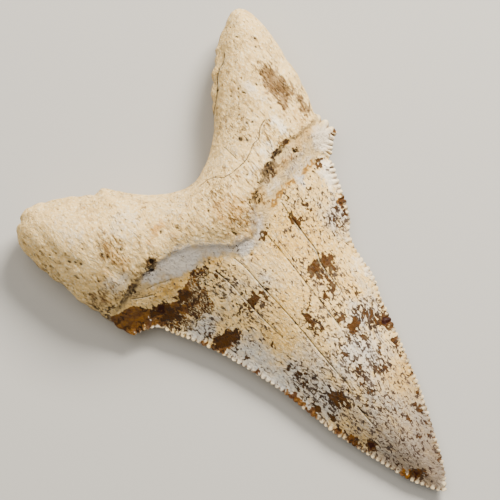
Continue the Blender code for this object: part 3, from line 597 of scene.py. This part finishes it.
WARM = [(9.0, -20.0, 6.0, 7.0, 0, 0.9), (-4.0, -38.5, 3.5, 6.0, 0, 0.35), (-5.0, -30.0, 3.0, 4.0, 0, 0.6),
        (-14.5, -11.3, 4.5, 1.2, -8, 1.0), (11.3, -10.6, 3.4, 0.45, 16, 1.5), (14.2, -10.0, 1.2, 0.5, 0, 1.5),
        (18.8, -9.9, 2.0, 0.45, 8, 1.4), (2.5, -17.0, 3.0, 1.5, 0, 0.7), (10.5, -31.0, 1.5, 4.0, 0, 0.9),
        (7.0, -50.5, 3.0, 3.5, 0, 0.9), (-5.5, -12.5, 2.0, 0.9, -20, 1.0), (1.0, -27.0, 3.0, 4.0, 0, 0.8),
        (-9.6, -1.2, 1.6, 0.7, 10, 1.2), (-18.6, -0.6, 1.6, 3.4, 0, 0.9), (-22.8, -1.6, 1.8, 1.0, 0, 0.8),
        (-12.0, -2.2, 1.0, 0.7, 0, 0.9), (3.0, -8.0, 4.0, 4.5, 0, 0.9), (0.0, -3.0, 12.0, 4.0, 0, 0.45),
        (18.3, -3.8, 1.6, 0.5, -8, 1.2), (22.0, -5.0, 3.0, 1.6, 0, 0.8), (24.0, -1.5, 2.0, 2.5, 0, 0.7),
        (-24.0, -6.2, 3.0, 1.4, 0, 0.6), (16.5, -6.6, 2.4, 0.8, 15, 0.9), (8.0, -8.6, 1.8, 1.6, 0, 0.9),
        (-22.0, -8.6, 3.0, 1.0, 0, 0.6), (-20.0, 9.0, 5.0, 5.0, 0, 0.5), (20.0, 10.0, 5.0, 7.0, 0, 0.45)]
ROUGH = [(24.3, 6.0, 2.3, 4.5, 0, 1.3), (22.9, 2.0, 0.9, 1.6, -10, 1.2), (25.8, -0.6, 1.2, 3.4, -20, 1.0),
         (-26.5, -4.6, 2.6, 2.4, -20, 0.9), (-18.5, 0.0, 2.0, 4.0, 0, 0.7), (3.0, -8.0, 4.0, 4.5, 0, 0.6),
         (12.8, -6.2, 2.4, 1.3, 20, 1.0), (8.0, -8.6, 1.4, 1.6, 0, 0.9), (-14.5, -5.4, 1.4, 1.1, 0, 1.1),
         (15.6, -4.5, 1.8, 0.5, 15, 1.1), (-30.2, 3.0, 1.6, 8.0, -8, 0.5), (-20.0, -6.8, 1.6, 0.7, 0, 1.0),
         (-20.0, -4.5, 8.0, 3.0, 0, 0.5), (5.0, -4.5, 9.0, 4.5, 0, 0.45), (20.0, -1.5, 7.0, 3.5, 0, 0.5),
         (13.5, 4.5, 3.5, 4.0, 0, 0.45), (-18.0, 3.5, 3.0, 3.0, 0, 0.4), (17.0, -6.8, 4.0, 2.0, 15, 0.6),
         (-22.0, -8.0, 3.0, 0.9, -5, 0.7), (-28.8, 6.0, 2.0, 5.0, 0, 0.35), (22.5, -6.5, 1.5, 1.5, 0, 0.6)]
# Patches stronger than 1.3, on the left cusplet's lower edge, also get painted glints.
PALE = [(-22.0, 8.5, 2.6, 4.0, 0, 0.6), (-13.5, 3.0, 3.5, 3.5, 0, 0.6), (19.8, -0.5, 0.9, 2.8, 0, 1.1),
        (15.0, -2.5, 1.6, 1.6, 0, 0.8), (10.5, -3.6, 2.0, 1.2, 0, 0.6), (24.6, -7.6, 2.2, 2.6, 0, 1.3),
        (21.5, -13.5, 1.8, 3.5, -15, 1.2), (-5.0, 0.0, 4.0, 2.0, 0, 0.5), (-21.7, -13.5, 0.8, 0.5, 20, 1.5),
        (14.8, -30.5, 1.4, 3.0, 0, 0.7), (20.0, 7.5, 1.0, 3.5, 10, 0.8), (8.0, 1.0, 4.0, 2.0, 0, 0.4),
        (-11.0, -8.8, 3.2, 1.3, -12, 0.8), (-16.2, -8.2, 1.2, 0.8, 0, 0.9), (11.6, -8.4, 2.0, 0.8, 15, 0.7),
        (-24.0, -14.2, 1.6, 0.45, -20, 1.4), (-22.0, -15.0, 1.0, 0.4, -20, 1.4), (-4.0, -8.0, 2.0, 1.2, -35, 0.5)]

UNDER_BROWN = [(-8.0, -20.0, 2.0, 3.5, 0, 0.8), (10.0, -15.0, 3.0, 1.5, 10, 0.8), (3.0, -38.0, 1.6, 3.0, 0, 0.75),
               (-14.0, -11.0, 4.0, 1.2, -6, 0.7), (-5.0, -52.0, 1.0, 2.0, 0, 0.8)]
UNDER_BLUE = [(0.0, -40.0, 8.0, 14.0, 0, 0.6), (-12.0, -20.0, 4.0, 6.0, 0, 0.7), (0.0, -66.0, 4.0, 5.0, 0, 0.7)]
UNDER_WARM = [(5.0, -22.0, 8.0, 8.0, 0, 0.7), (0.0, 0.0, 8.0, 4.0, 0, 0.6)]


# Tooth: the assembled mesh, with what its surface needs to know stored on its points
LEFT_FLUTE = 1.1
RIGHT_FLUTE = 2.6


def flute_length(points):
    """How far the serrations' ridges run in: long on the right shoulder, short elsewhere."""
    shoulder = mound(points, (22.5, -12.5), (5.0, 8.0))
    return LEFT_FLUTE + (RIGHT_FLUTE - LEFT_FLUTE) * shoulder


def rim_facts(points):
    """What the saw edge needs at each point: serrations so far, their cut, the way out, the gap to the rim."""
    nearest, gap = nearest_on_rim(points)
    ahead = np.column_stack([-rim_out[nearest, 1], rim_out[nearest, 0]])
    slide = ((points - rim_place[nearest]) * ahead).sum(axis=1)
    run = rim_run[nearest] + slide / SERRATION_PITCH * (rim_cut[nearest] > 0)
    return run, rim_cut[nearest], rim_out[nearest], gap


def tip_grey_and_shade(points):
    """Darker and greyer towards the tip: partly the enamel's own grey, partly painted shade for the light falling
    off there.
    """
    return smooth_step((-38 - points[:, 1]) / 30)


everywhere = np.vstack([upper, lower])
run, cut, way_out, gap = rim_facts(everywhere)
upper_facts = {"past_root": past_root, "past_enamel": past_enamel, "crack_side": crack_side,
               "crack_width": crack_width, "pit": pit_share, "brown": cover(seen, BROWN),
               "amber": cover(seen, AMBER) * below_shelf(seen), "flecks": cover(seen, FLECKS),
               "fingers": cover(seen, FINGERS), "blue_grey": cover(seen, BLUE_GREY),
               "warm": cover(seen, WARM), "rough": cover(seen, ROUGH), "pale": cover(seen, PALE),
               "tip_grey_and_shade": tip_grey_and_shade(seen),
               "side": np.ones(len(upper))}
nothing = np.zeros(len(lower))
lower_facts = {"past_root": past_under_neck, "past_enamel": past_under_neck, "crack_side": nothing + 9,
               "crack_width": nothing, "pit": nothing, "brown": cover(lower, UNDER_BROWN),
               "amber": nothing, "flecks": nothing + 0.4, "fingers": nothing, "blue_grey": cover(lower, UNDER_BLUE),
               "warm": cover(lower, UNDER_WARM), "rough": nothing, "pale": nothing,
               "tip_grey_and_shade": tip_grey_and_shade(lower), "side": -np.ones(len(lower))}
facts = {name: np.concatenate([upper_facts[name], lower_facts[name]]) for name in upper_facts}
facts.update(saw_run=run, saw_cut=cut * MM, saw_gap=gap * MM, saw_flute=flute_length(everywhere) * MM)
height = np.concatenate([upper_height, lower_height])
seen_place = np.column_stack([np.vstack([seen, lower + (100, 0)]), height])

low, high = np.array(cad_box[0]) / MM, np.array(cad_box[1]) / MM
corners = np.column_stack([everywhere - MIDDLE, height])
shift = len(upper)
band = np.column_stack([lower_rim + shift, np.roll(lower_rim, -1) + shift, np.roll(upper_rim, -1), upper_rim])
faces = upper_triangles.tolist() + (lower_triangles[:, ::-1] + shift).tolist() + band.tolist()
blank = bpy.data.meshes.new("tooth")
blank.from_pydata((corners * MM).tolist(), [], faces)
blank.polygons.foreach_set("use_smooth", np.ones(len(faces), dtype=bool))
for name, values in facts.items():
    blank.attributes.new(name, "FLOAT", "POINT").data.foreach_set("value", values.astype(np.float32))
for name, values in (("seen", seen_place), ("saw_out", np.column_stack([way_out, 0 * gap]))):
    blank.attributes.new(name, "FLOAT_VECTOR", "POINT").data.foreach_set("vector", values.astype(np.float32).ravel())


# Node helpers
def add(tree, kind, inputs=None, output=0, **settings):
    """Add a node, set it, feed its inputs with values or other nodes' outputs, and return one output."""
    node = tree.nodes.new(kind)
    for name, value in settings.items():
        setattr(node, name, value)
    for socket, value in (inputs or {}).items():
        if isinstance(value, bpy.types.NodeSocket):
            tree.links.new(value, node.inputs[socket])
        else:
            node.inputs[socket].default_value = value
    return node.outputs[output]


def maths(tree, operation, *values):
    """A Math node on values or outputs."""
    return add(tree, "ShaderNodeMath", dict(enumerate(values)), operation=operation)


def vectors(tree, operation, *values):
    """A Vector Math node on vectors or outputs."""
    return add(tree, "ShaderNodeVectorMath", dict(enumerate(values)), operation=operation)


def ease(tree, value, start, end):
    """0 at start, 1 at end, with a soft step between."""
    return add(tree, "ShaderNodeMapRange", {0: value, 1: start, 2: end}, interpolation_type="SMOOTHSTEP")


# Tooth: the saw edge
# Serrations are rounded beads along both edges of the crown and round the cusplets, with short
# ridges that run in from them. No two are quite alike, and some are worn down.
def build_saw_edge():
    """Geometry Nodes that push the rim out into serrations and raise a ridge behind each."""
    tree = bpy.data.node_groups.new("saw edge", "GeometryNodeTree")
    for name, kind in (("Geometry", "Geometry"), ("Bluntness", "Float"), ("Unevenness", "Float"),
                       ("Ridge slope", "Float"), ("Seed", "Int"), ("Material", "Material")):
        tree.interface.new_socket(name, in_out="INPUT", socket_type="NodeSocket" + kind)
    tree.interface.new_socket("Geometry", in_out="OUTPUT", socket_type="NodeSocketGeometry")
    given = tree.nodes.new("NodeGroupInput").outputs

    def fact(name, data_type="FLOAT"):
        return add(tree, "GeometryNodeInputNamedAttribute", {"Name": name}, data_type=data_type)

    serration = maths(tree, "FLOOR", fact("saw_run"))
    wave = maths(tree, "ABSOLUTE", maths(tree, "SINE", maths(tree, "MULTIPLY", fact("saw_run"), math.pi)))
    bead = maths(tree, "POWER", wave, given["Bluntness"])
    least = maths(tree, "SUBTRACT", 1.0, given["Unevenness"])
    fullness = add(tree, "FunctionNodeRandomValue", {2: least, 3: 1.0, "ID": serration, "Seed": given["Seed"]},
                   output=1, data_type="FLOAT")
    bead = maths(tree, "MULTIPLY", bead, fullness)
    near_rim = ease(tree, maths(tree, "DIVIDE", fact("saw_gap"), fact("saw_flute")), 1.0, 0.0)
    reach = maths(tree, "MULTIPLY", maths(tree, "MULTIPLY", bead, near_rim), fact("saw_cut"))
    outward = add(tree, "ShaderNodeVectorMath", {0: fact("saw_out", "FLOAT_VECTOR"), "Scale": reach},
                  operation="SCALE")
    is_saw = ease(tree, fact("saw_cut"), 0.0, 0.3 * MM)
    swell = maths(tree, "MULTIPLY", maths(tree, "SUBTRACT", bead, 0.5), maths(tree, "MULTIPLY", near_rim, is_saw))
    ridge_height = maths(tree, "MULTIPLY", fact("saw_flute"), given["Ridge slope"])
    ridge = maths(tree, "MULTIPLY", maths(tree, "MULTIPLY", swell, ridge_height), fact("side"))
    lift = add(tree, "ShaderNodeCombineXYZ", {"Z": ridge})
    moved = add(tree, "GeometryNodeSetPosition",
                {"Geometry": given["Geometry"], "Offset": vectors(tree, "ADD", outward, lift)})
    # saw_hollow: share between the serrations that the material darkens with painted shade
    gap_share = maths(tree, "MULTIPLY", maths(tree, "SUBTRACT", 1.0, bead),
                      maths(tree, "MULTIPLY", near_rim, is_saw))
    stored = add(tree, "GeometryNodeStoreNamedAttribute",
                 {"Geometry": moved, "Name": "saw_hollow", "Value": gap_share}, domain="POINT")
    # saw_bead: share at each serration's tip that the material brightens as a painted highlight
    tip_share = maths(tree, "MULTIPLY", bead, maths(tree, "MULTIPLY", near_rim, is_saw))
    stored = add(tree, "GeometryNodeStoreNamedAttribute",
                 {"Geometry": stored, "Name": "saw_bead", "Value": tip_share}, domain="POINT")
    real = add(tree, "GeometryNodeRealizeInstances", {0: stored})
    dressed = add(tree, "GeometryNodeSetMaterial", {"Geometry": real, "Material": given["Material"]})
    add_output = tree.nodes.new("NodeGroupOutput")
    tree.links.new(dressed, add_output.inputs[0])
    return tree


# Tooth: the worn surface
# The root's dentine is lumpy and pierced by pores that are drawn out lengthwise. The enamel keeps
# faint lengthwise swells.
def build_worn_surface():
    """Geometry Nodes that sink lumps, swells and scattered pores into the surface."""
    tree = bpy.data.node_groups.new("worn surface", "GeometryNodeTree")
    for name, kind in (("Geometry", "Geometry"), ("Lump size", "Float"), ("Lump depth", "Float"),
                       ("Swell depth", "Float"), ("Pores per square metre", "Float"), ("Pore radius", "Float"),
                       ("Pore depth", "Float"), ("Pore stretch", "Float"), ("Seed", "Int"),
                       ("Material", "Material")):
        tree.interface.new_socket(name, in_out="INPUT", socket_type="NodeSocket" + kind)
    tree.interface.new_socket("Geometry", in_out="OUTPUT", socket_type="NodeSocketGeometry")
    given = tree.nodes.new("NodeGroupInput").outputs

    def fact(name):
        return add(tree, "GeometryNodeInputNamedAttribute", {"Name": name}, data_type="FLOAT")

    place = add(tree, "GeometryNodeInputPosition")
    root = ease(tree, fact("past_root"), 0.5, -0.5)
    crown = ease(tree, fact("past_enamel"), 0.0, 2.0)
    lump = add(tree, "ShaderNodeTexNoise",
               {"Vector": place, "Scale": maths(tree, "DIVIDE", 1.0, given["Lump size"]), "Detail": 4.0,
                "Roughness": 0.55})
    long_way = vectors(tree, "MULTIPLY", place, (700.0, 60.0, 0.0))
    swell = add(tree, "ShaderNodeTexNoise", {"Vector": long_way, "Scale": 1.0, "Detail": 2.0})
    sink = maths(tree, "MULTIPLY", maths(tree, "MULTIPLY", lump, root), given["Lump depth"])
    sink = maths(tree, "MULTIPLY_ADD", maths(tree, "MULTIPLY", swell, crown), given["Swell depth"], sink)

    density = maths(tree, "MULTIPLY", maths(tree, "ADD", 0.25, fact("rough")), maths(tree, "MULTIPLY", root, given["Pores per square metre"]))
    pores = add(tree, "GeometryNodeDistributePointsOnFaces",
                {"Mesh": given["Geometry"], "Density": density, "Seed": given["Seed"]}, distribute_method="RANDOM")
    squash = add(tree, "ShaderNodeCombineXYZ",
                 {"X": 1.0, "Y": maths(tree, "DIVIDE", 1.0, given["Pore stretch"]), "Z": 1.0})
    squashed = add(tree, "GeometryNodeSetPosition",
                   {"Geometry": pores, "Position": vectors(tree, "MULTIPLY", place, squash)})
    distance = add(tree, "GeometryNodeProximity",
                   {0: squashed, "Sample Position": vectors(tree, "MULTIPLY", place, squash)},
                   output="Distance", target_element="POINTS")
    pore = ease(tree, maths(tree, "DIVIDE", distance, given["Pore radius"]), 1.0, 0.0)
    pore = maths(tree, "MULTIPLY", pore, root)
    sink = maths(tree, "MULTIPLY_ADD", pore, given["Pore depth"], sink)
    inward = add(tree, "ShaderNodeVectorMath",
                 {0: add(tree, "GeometryNodeInputNormal"), "Scale": maths(tree, "MULTIPLY", sink, -1.0)},
                 operation="SCALE")
    moved = add(tree, "GeometryNodeSetPosition", {"Geometry": given["Geometry"], "Offset": inward})
    # pore: how much each pore is later darkened with painted shade
    stored = add(tree, "GeometryNodeStoreNamedAttribute", {"Geometry": moved, "Name": "pore", "Value": pore},
                 domain="POINT")
    real = add(tree, "GeometryNodeRealizeInstances", {0: stored})
    dressed = add(tree, "GeometryNodeSetMaterial", {"Geometry": real, "Material": given["Material"]})
    tree.links.new(dressed, tree.nodes.new("NodeGroupOutput").inputs[0])
    return tree


# Tooth: its material
# Mineralised dentine and enamel: cream, blue-grey and brown, satin where it is enamel, chalky on the root.
def colour(code):
    """An sRGB hex colour as linear RGBA."""
    channels = [int(code[i:i + 2], 16) / 255 for i in (1, 3, 5)]
    return (*[c / 12.92 if c <= 0.04045 else ((c + 0.055) / 1.055) ** 2.4 for c in channels], 1.0)


def build_fossil_surface():
    material = bpy.data.materials.new("mineralised tooth")
    material.use_nodes = True
    tree = material.node_tree
    shader = tree.nodes["Principled BSDF"]

    def fact(name):
        return add(tree, "ShaderNodeAttribute", output="Fac", attribute_name=name)

    place = add(tree, "ShaderNodeAttribute", output="Vector", attribute_name="seen")

    def scaled(size, shift):
        return vectors(tree, "ADD", vectors(tree, "MULTIPLY", place, tuple(1 / s for s in size)), (shift, 0.0, 0.0))

    def grain(size, detail=3.0, roughness=0.5, distortion=0.0, shift=0.0):
        """Noise whose grains have a size in mm across, along and up."""
        return add(tree, "ShaderNodeTexNoise",
                   {"Vector": scaled(size, shift), "Scale": 1.0, "Detail": detail, "Roughness": roughness,
                    "Distortion": distortion})

    def blend(share, first, second):
        node = tree.nodes.new("ShaderNodeMix")
        node.data_type = "RGBA"
        for socket, value in ((node.inputs["Factor"], share), (node.inputs[6], first), (node.inputs[7], second)):
            if isinstance(value, bpy.types.NodeSocket):
                tree.links.new(value, socket)
            else:
                socket.default_value = value
        return node.outputs[2]

    def above(value, start, end):
        return ease(tree, value, start, end)

    def plus(*values):
        total = values[0]
        for value in values[1:]:
            total = maths(tree, "ADD", total, value)
        return total

    def times(*values):
        total = values[0]
        for value in values[1:]:
            total = maths(tree, "MULTIPLY", total, value)
        return total

    def swing(value, gain):
        """Noise turned to swing about 0."""
        return maths(tree, "MULTIPLY_ADD", value, gain, -0.5 * gain)

    def veins(value, width):
        """1 along the winding lines where noise crosses its middle."""
        return above(maths(tree, "ABSOLUTE", swing(value, 1.0)), width, width * 0.3)

    coarse = grain((3.2, 5.5, 3.2), 5, 0.6)
    medium = grain((1.1, 1.9, 1.1), 4, 0.6, 0.4, shift=7)
    fine = grain((0.4, 0.65, 0.4), 3, 0.65, shift=13)
    streaks = grain((0.4, 2.0, 0.8), 3, 0.6, 0.3, shift=21)
    hairs = grain((0.24, 0.9, 0.5), 2, 0.6, shift=27)
    branching = grain((1.0, 1.5, 1.0), 5, 0.72, 1.0, shift=31)
    strokes = grain((0.5, 1.0, 0.5), 2, 0.55, 0.9, shift=43)
    forked = grain((0.9, 1.7, 0.9), 2, 0.5, 1.6, shift=57)

    # enamel: cream ground, blue-grey and warm areas, fine mottling with small painted highlights on its raised
    # grain, then short dark flecks
    # the warm and blue-grey patches are partly painted light and painted shade across the crown's two sides
    warm = plus(fact("warm"), swing(coarse, -1.2), swing(medium, 1.6))
    blue = above(plus(fact("blue_grey"), swing(coarse, 1.4), swing(medium, 1.6)), 0.1, 1.1)
    ochre = above(plus(fact("warm"), swing(medium, 1.2)), 0.85, 1.35)
    enamel = blend(blue, colour("#ebc67c"), colour("#c8c6c0"))
    enamel = blend(times(above(warm, 0.1, 1.1), 0.7), enamel, colour("#e4b552"))
    enamel = blend(times(above(medium, 0.5, 0.66), 0.3), enamel, colour("#a0855c"))
    enamel = blend(times(above(streaks, 0.52, 0.68), 0.4), enamel, colour("#8a6c44"))
    # painted highlights: cream-white specks on the raised points of the fine grain
    enamel = blend(times(above(fine, 0.5, 0.64), 0.4), enamel, colour("#fff2d0"))
    enamel = blend(times(ochre, 0.8), enamel, colour("#8a5c0c"))
    # darker and greyer towards the tip, partly painted shade
    enamel = blend(times(fact("tip_grey_and_shade"), 0.9), enamel, colour("#6f6152"))
    fleck = plus(strokes, times(fact("flecks"), 0.14), swing(branching, 0.35), swing(hairs, 0.2))
    enamel = blend(times(above(fleck, 0.54, 0.66), 0.5), enamel, colour("#8d7c70"))
    enamel = blend(times(above(fleck, 0.62, 0.66), 0.9), enamel, colour("#33241c"))

    # root dentine: chalky cream, lengthwise furrows and nicks sunk in the bump and darkened with painted shade,
    # ochre and brown porous areas
    rough = fact("rough")
    dentine = blend(above(coarse, 0.3, 0.7), colour("#f3d290"), colour("#dfbc78"))
    # painted highlights: cream-white specks on the raised points of the fine grain
    dentine = blend(times(above(fine, 0.5, 0.64), 0.5), dentine, colour("#fff3d4"))
    dentine = blend(times(above(medium, 0.48, 0.66), 0.45), dentine, colour("#a5875a"))
    dentine = blend(times(above(plus(fact("blue_grey"), swing(medium, 2.0)), 0.2, 1.1), 0.6), dentine,
                    colour("#cbc6ba"))
    dentine = blend(times(above(plus(warm, swing(hairs, 1.6)), 0.35, 1.3), 0.7), dentine, colour("#c48f3c"))
    pale = above(plus(fact("pale"), swing(medium, 1.6), swing(fine, 0.6)), 0.3, 1.3)
    dentine = blend(times(pale, 0.75), dentine, colour("#fff6e0"))
    enamel = blend(times(pale, 0.85), enamel, colour("#fff4e0"))
    porous = above(plus(rough, swing(medium, 1.2), swing(fine, 1.0)), 0.75, 1.1)
    dentine = blend(times(porous, 0.75), dentine, colour("#6e4e2c"))
    # the furrows are sunk in the bump; their dark colour is painted shade
    furrow = above(plus(streaks, times(rough, 0.12), swing(coarse, 0.3)), 0.61, 0.69)
    dentine = blend(times(furrow, 0.7), dentine, colour("#6a4c28"))
    # the nicks are sunk in the bump; their near-black colour is painted shade
    nick = above(plus(hairs, times(rough, 0.11), swing(coarse, 0.3)), 0.66, 0.73)
    dentine = blend(times(nick, 0.85), dentine, colour("#3c2814"))

    # bourlette: lilac-grey and smooth where it is clean, brown and porous where it is worn
    band = blend(above(plus(fact("blue_grey"), swing(coarse, 1.4), swing(medium, 1.6)), 0.0, 1.1),
                 colour("#d8bb84"), colour("#e6dfd6"))
    band = blend(times(above(warm, 0.2, 1.1), 0.7), band, colour("#dcae5c"))
    band = blend(times(pale, 0.7), band, colour("#fff4e0"))
    band = blend(times(above(plus(rough, swing(medium, 2.0), swing(strokes, 2.0)), 0.5, 1.0), 0.75), band,
                 colour("#5f4628"))
    band = blend(times(ochre, 0.8), band, colour("#8a5c0c"))
    band = blend(times(above(fine, 0.5, 0.66), 0.4), band, colour("#86705a"))
    # painted shade in the nicks across the bourlette
    band = blend(times(nick, 0.7), band, colour("#3c2814"))

    wobble = plus(swing(fine, 0.6), swing(medium, 1.2))
    past_root = plus(fact("past_root"), wobble)
    past_enamel = plus(fact("past_enamel"), wobble)
    below_root = above(past_root, -0.15, 0.15)
    on_crown = above(past_enamel, -0.5, 0.6)
    surface = blend(below_root, dentine, band)
    surface = blend(on_crown, surface, enamel)

    # amber where the enamel is translucent, brown stains with fine dark borders, light forked lines
    amber = above(plus(fact("amber"), swing(branching, 1.2), swing(strokes, 1.0)), 0.45, 0.6)
    amber = times(amber, above(fact("amber"), 0.05, 0.3))
    surface = blend(times(amber, 0.95), surface, blend(above(medium, 0.42, 0.6), colour("#4c2500"),
                                                       colour("#734800")))
    brown = fact("brown")
    stain = plus(brown, -0.45, swing(strokes, 2.6), swing(branching, 1.4))
    surface = blend(times(above(stain, 0.0, 0.1), above(brown, 0.02, 0.2), 0.92), surface, colour("#2c1c10"))
    heart = above(plus(stain, swing(medium, 1.0)), 0.3, 0.65)
    surface = blend(times(heart, 0.85), surface, colour("#4e2e00"))
    surface = blend(above(plus(brown, swing(medium, 0.6)), 1.3, 1.45), surface, colour("#280800"))
    finger = times(veins(forked, 0.035), above(plus(fact("fingers"), swing(medium, 2.0)), 0.3, 0.7))
    surface = blend(times(finger, 0.85), surface, colour("#f6e0b0"))

    # painted shade along the root's overhanging edge, in pits, pores, cracks and between the serrations; painted
    # highlights on the cracks' lips, the serrations' tips and the left cusplet's lower edge
    # painted shade in the crevice under the root's overhanging edge, patchier where the dentine is rough
    edge_shade = above(maths(tree, "ABSOLUTE", maths(tree, "SUBTRACT", past_root, 0.15)), 0.6, 0.05)
    edge_shade = times(edge_shade, above(plus(rough, swing(coarse, 2.0), swing(medium, 2.0)), -0.5, 1.0))
    surface = blend(times(edge_shade, 0.6), surface, colour("#352410"))
    crack_side = plus(fact("crack_side"), swing(fine, 0.15), swing(medium, 0.3))
    crack = above(maths(tree, "ABSOLUTE", crack_side), times(fact("crack_width"), 1.9),
                  times(fact("crack_width"), 0.6))
    crack = times(crack, above(fact("crack_width"), 0.0, 0.02))
    # painted highlight along one lip of each wider crack
    lip_highlight = times(above(crack_side, 0.02, 0.1), above(crack_side, 0.34, 0.2),
                above(fact("crack_width"), 0.04, 0.07))
    surface = blend(times(lip_highlight, 0.45, above(coarse, 0.45, 0.55)), surface, colour("#fff0cc"))
    # painted shade inside the cracks
    surface = blend(times(crack, 0.8, above(plus(fine, medium), 0.8, 1.05)), surface, colour("#35240e"))
    # painted shade in the pits
    surface = blend(times(above(plus(fact("pit"), swing(fine, 1.0)), 0.4, 0.75), 0.9), surface, colour("#1f1206"))
    # painted shade in the pores
    surface = blend(times(fact("pore"), 0.6), surface, colour("#3a2712"))
    clean = above(fact("amber"), 0.9, 0.3)
    # painted shade between the serrations, painted highlight on their tips
    surface = blend(times(above(fact("saw_hollow"), 0.2, 0.8), 0.8), surface, colour("#52300a"))
    surface = blend(times(above(plus(fact("saw_bead"), swing(medium, 1.5)), 0.3, 0.9), 0.6, clean), surface,
                    colour("#fdecc4"))
    # painted glints on the left cusplet's glossy lower edge, where the pale patches are strongest
    surface = blend(times(above(fact("pale"), 1.3, 1.4), above(fine, 0.42, 0.52)), surface, colour("#fff8ea"))

    bumps = plus(times(fine, 0.6), times(medium, 1.1), times(furrow, -0.25), times(nick, -0.3),
                 times(crack, -0.6), times(above(stain, 0.0, 0.2), -0.15))
    bump = add(tree, "ShaderNodeBump", {"Height": bumps, "Distance": 0.4 * MM, "Strength": 1.0}, output="Normal")
    roughness = add(tree, "ShaderNodeMapRange", {0: on_crown, 3: 0.7, 4: 0.4})
    tree.links.new(surface, shader.inputs["Base Color"])
    tree.links.new(roughness, shader.inputs["Roughness"])
    tree.links.new(bump, shader.inputs["Normal"])
    shader.inputs["Specular IOR Level"].default_value = 0.15
    return material


fossil_surface = build_fossil_surface()


def grow(mesh, tree, **sizes):
    """Run a Geometry Nodes tree on a mesh and return the result as a plain mesh."""
    carrier = bpy.data.objects.new("blank", mesh)
    bpy.context.scene.collection.objects.link(carrier)
    modifier = carrier.modifiers.new("grow", "NODES")
    modifier.node_group = tree
    for item in tree.interface.items_tree:
        if item.in_out == "INPUT" and item.name.replace(" ", "_").lower() in sizes:
            modifier[item.identifier] = sizes[item.name.replace(" ", "_").lower()]
    evaluated = carrier.evaluated_get(bpy.context.evaluated_depsgraph_get())
    grown = bpy.data.meshes.new_from_object(evaluated)
    carrier.modifiers.remove(modifier)
    bpy.data.objects.remove(carrier)
    return grown


worn_mesh = grow(blank, build_worn_surface(), lump_size=4.0 * MM, lump_depth=0.5 * MM, swell_depth=0.1 * MM,
                 pores_per_square_metre=900000.0, pore_radius=0.3 * MM, pore_depth=0.2 * MM, pore_stretch=2.6,
                 seed=11, material=fossil_surface)
tooth_mesh = grow(worn_mesh, build_saw_edge(), bluntness=0.6, unevenness=0.35, ridge_slope=0.24, seed=5,
                  material=fossil_surface)
tooth_mesh.name = "tooth"
places = np.empty(3 * len(tooth_mesh.vertices), dtype=np.float32)
tooth_mesh.vertices.foreach_get("co", places)
places = np.clip(places.reshape(-1, 3), low * MM, high * MM)
tooth_mesh.vertices.foreach_set("co", places.ravel())
tooth_mesh.update()
tooth = bpy.data.objects.new("fossil_tooth", tooth_mesh)
bpy.context.scene.collection.objects.link(tooth)
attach(tooth, "root")
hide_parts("tooth")


# Floor and light
# Plain pale paper, one broad soft lamp from the picture's upper right and pale room light.
FLOOR_HALF = 1.5
floor_mesh = bpy.data.meshes.new("floor")
floor_mesh.from_pydata([(-FLOOR_HALF, -FLOOR_HALF, 0), (FLOOR_HALF, -FLOOR_HALF, 0),
                        (FLOOR_HALF, FLOOR_HALF, 0), (-FLOOR_HALF, FLOOR_HALF, 0)], [], [(0, 1, 2, 3)])
paper = bpy.data.materials.new("pale paper")
paper.use_nodes = True
paper.node_tree.nodes["Principled BSDF"].inputs["Base Color"].default_value = colour("#b3b3b1")
paper.node_tree.nodes["Principled BSDF"].inputs["Roughness"].default_value = 0.9
floor_mesh.materials.append(paper)
floor = bpy.data.objects.new("floor", floor_mesh)
bpy.context.scene.collection.objects.link(floor)


LAMP_COLOUR = (1.0, 0.92, 0.8)


def lamp(name, place, size, power):
    """A square soft lamp aimed at the tooth."""
    light = bpy.data.lights.new(name, "AREA")
    light.size = size
    light.energy = power
    light.color = LAMP_COLOUR
    holder = bpy.data.objects.new(name, light)
    holder.location = place
    holder.rotation_euler = (AIM - Vector(place)).to_track_quat("-Z", "Y").to_euler()
    bpy.context.scene.collection.objects.link(holder)


lamp("window", (0.40, 0.16, 0.36), 0.22, 9.5)
lamp("ceiling", (-0.05, 0.25, 0.9), 0.8, 6.5)

world = bpy.data.worlds.new("room")
world.use_nodes = True
world.node_tree.nodes["Background"].inputs["Color"].default_value = colour("#ece6dc")
world.node_tree.nodes["Background"].inputs["Strength"].default_value = 0.35
bpy.context.scene.world = world
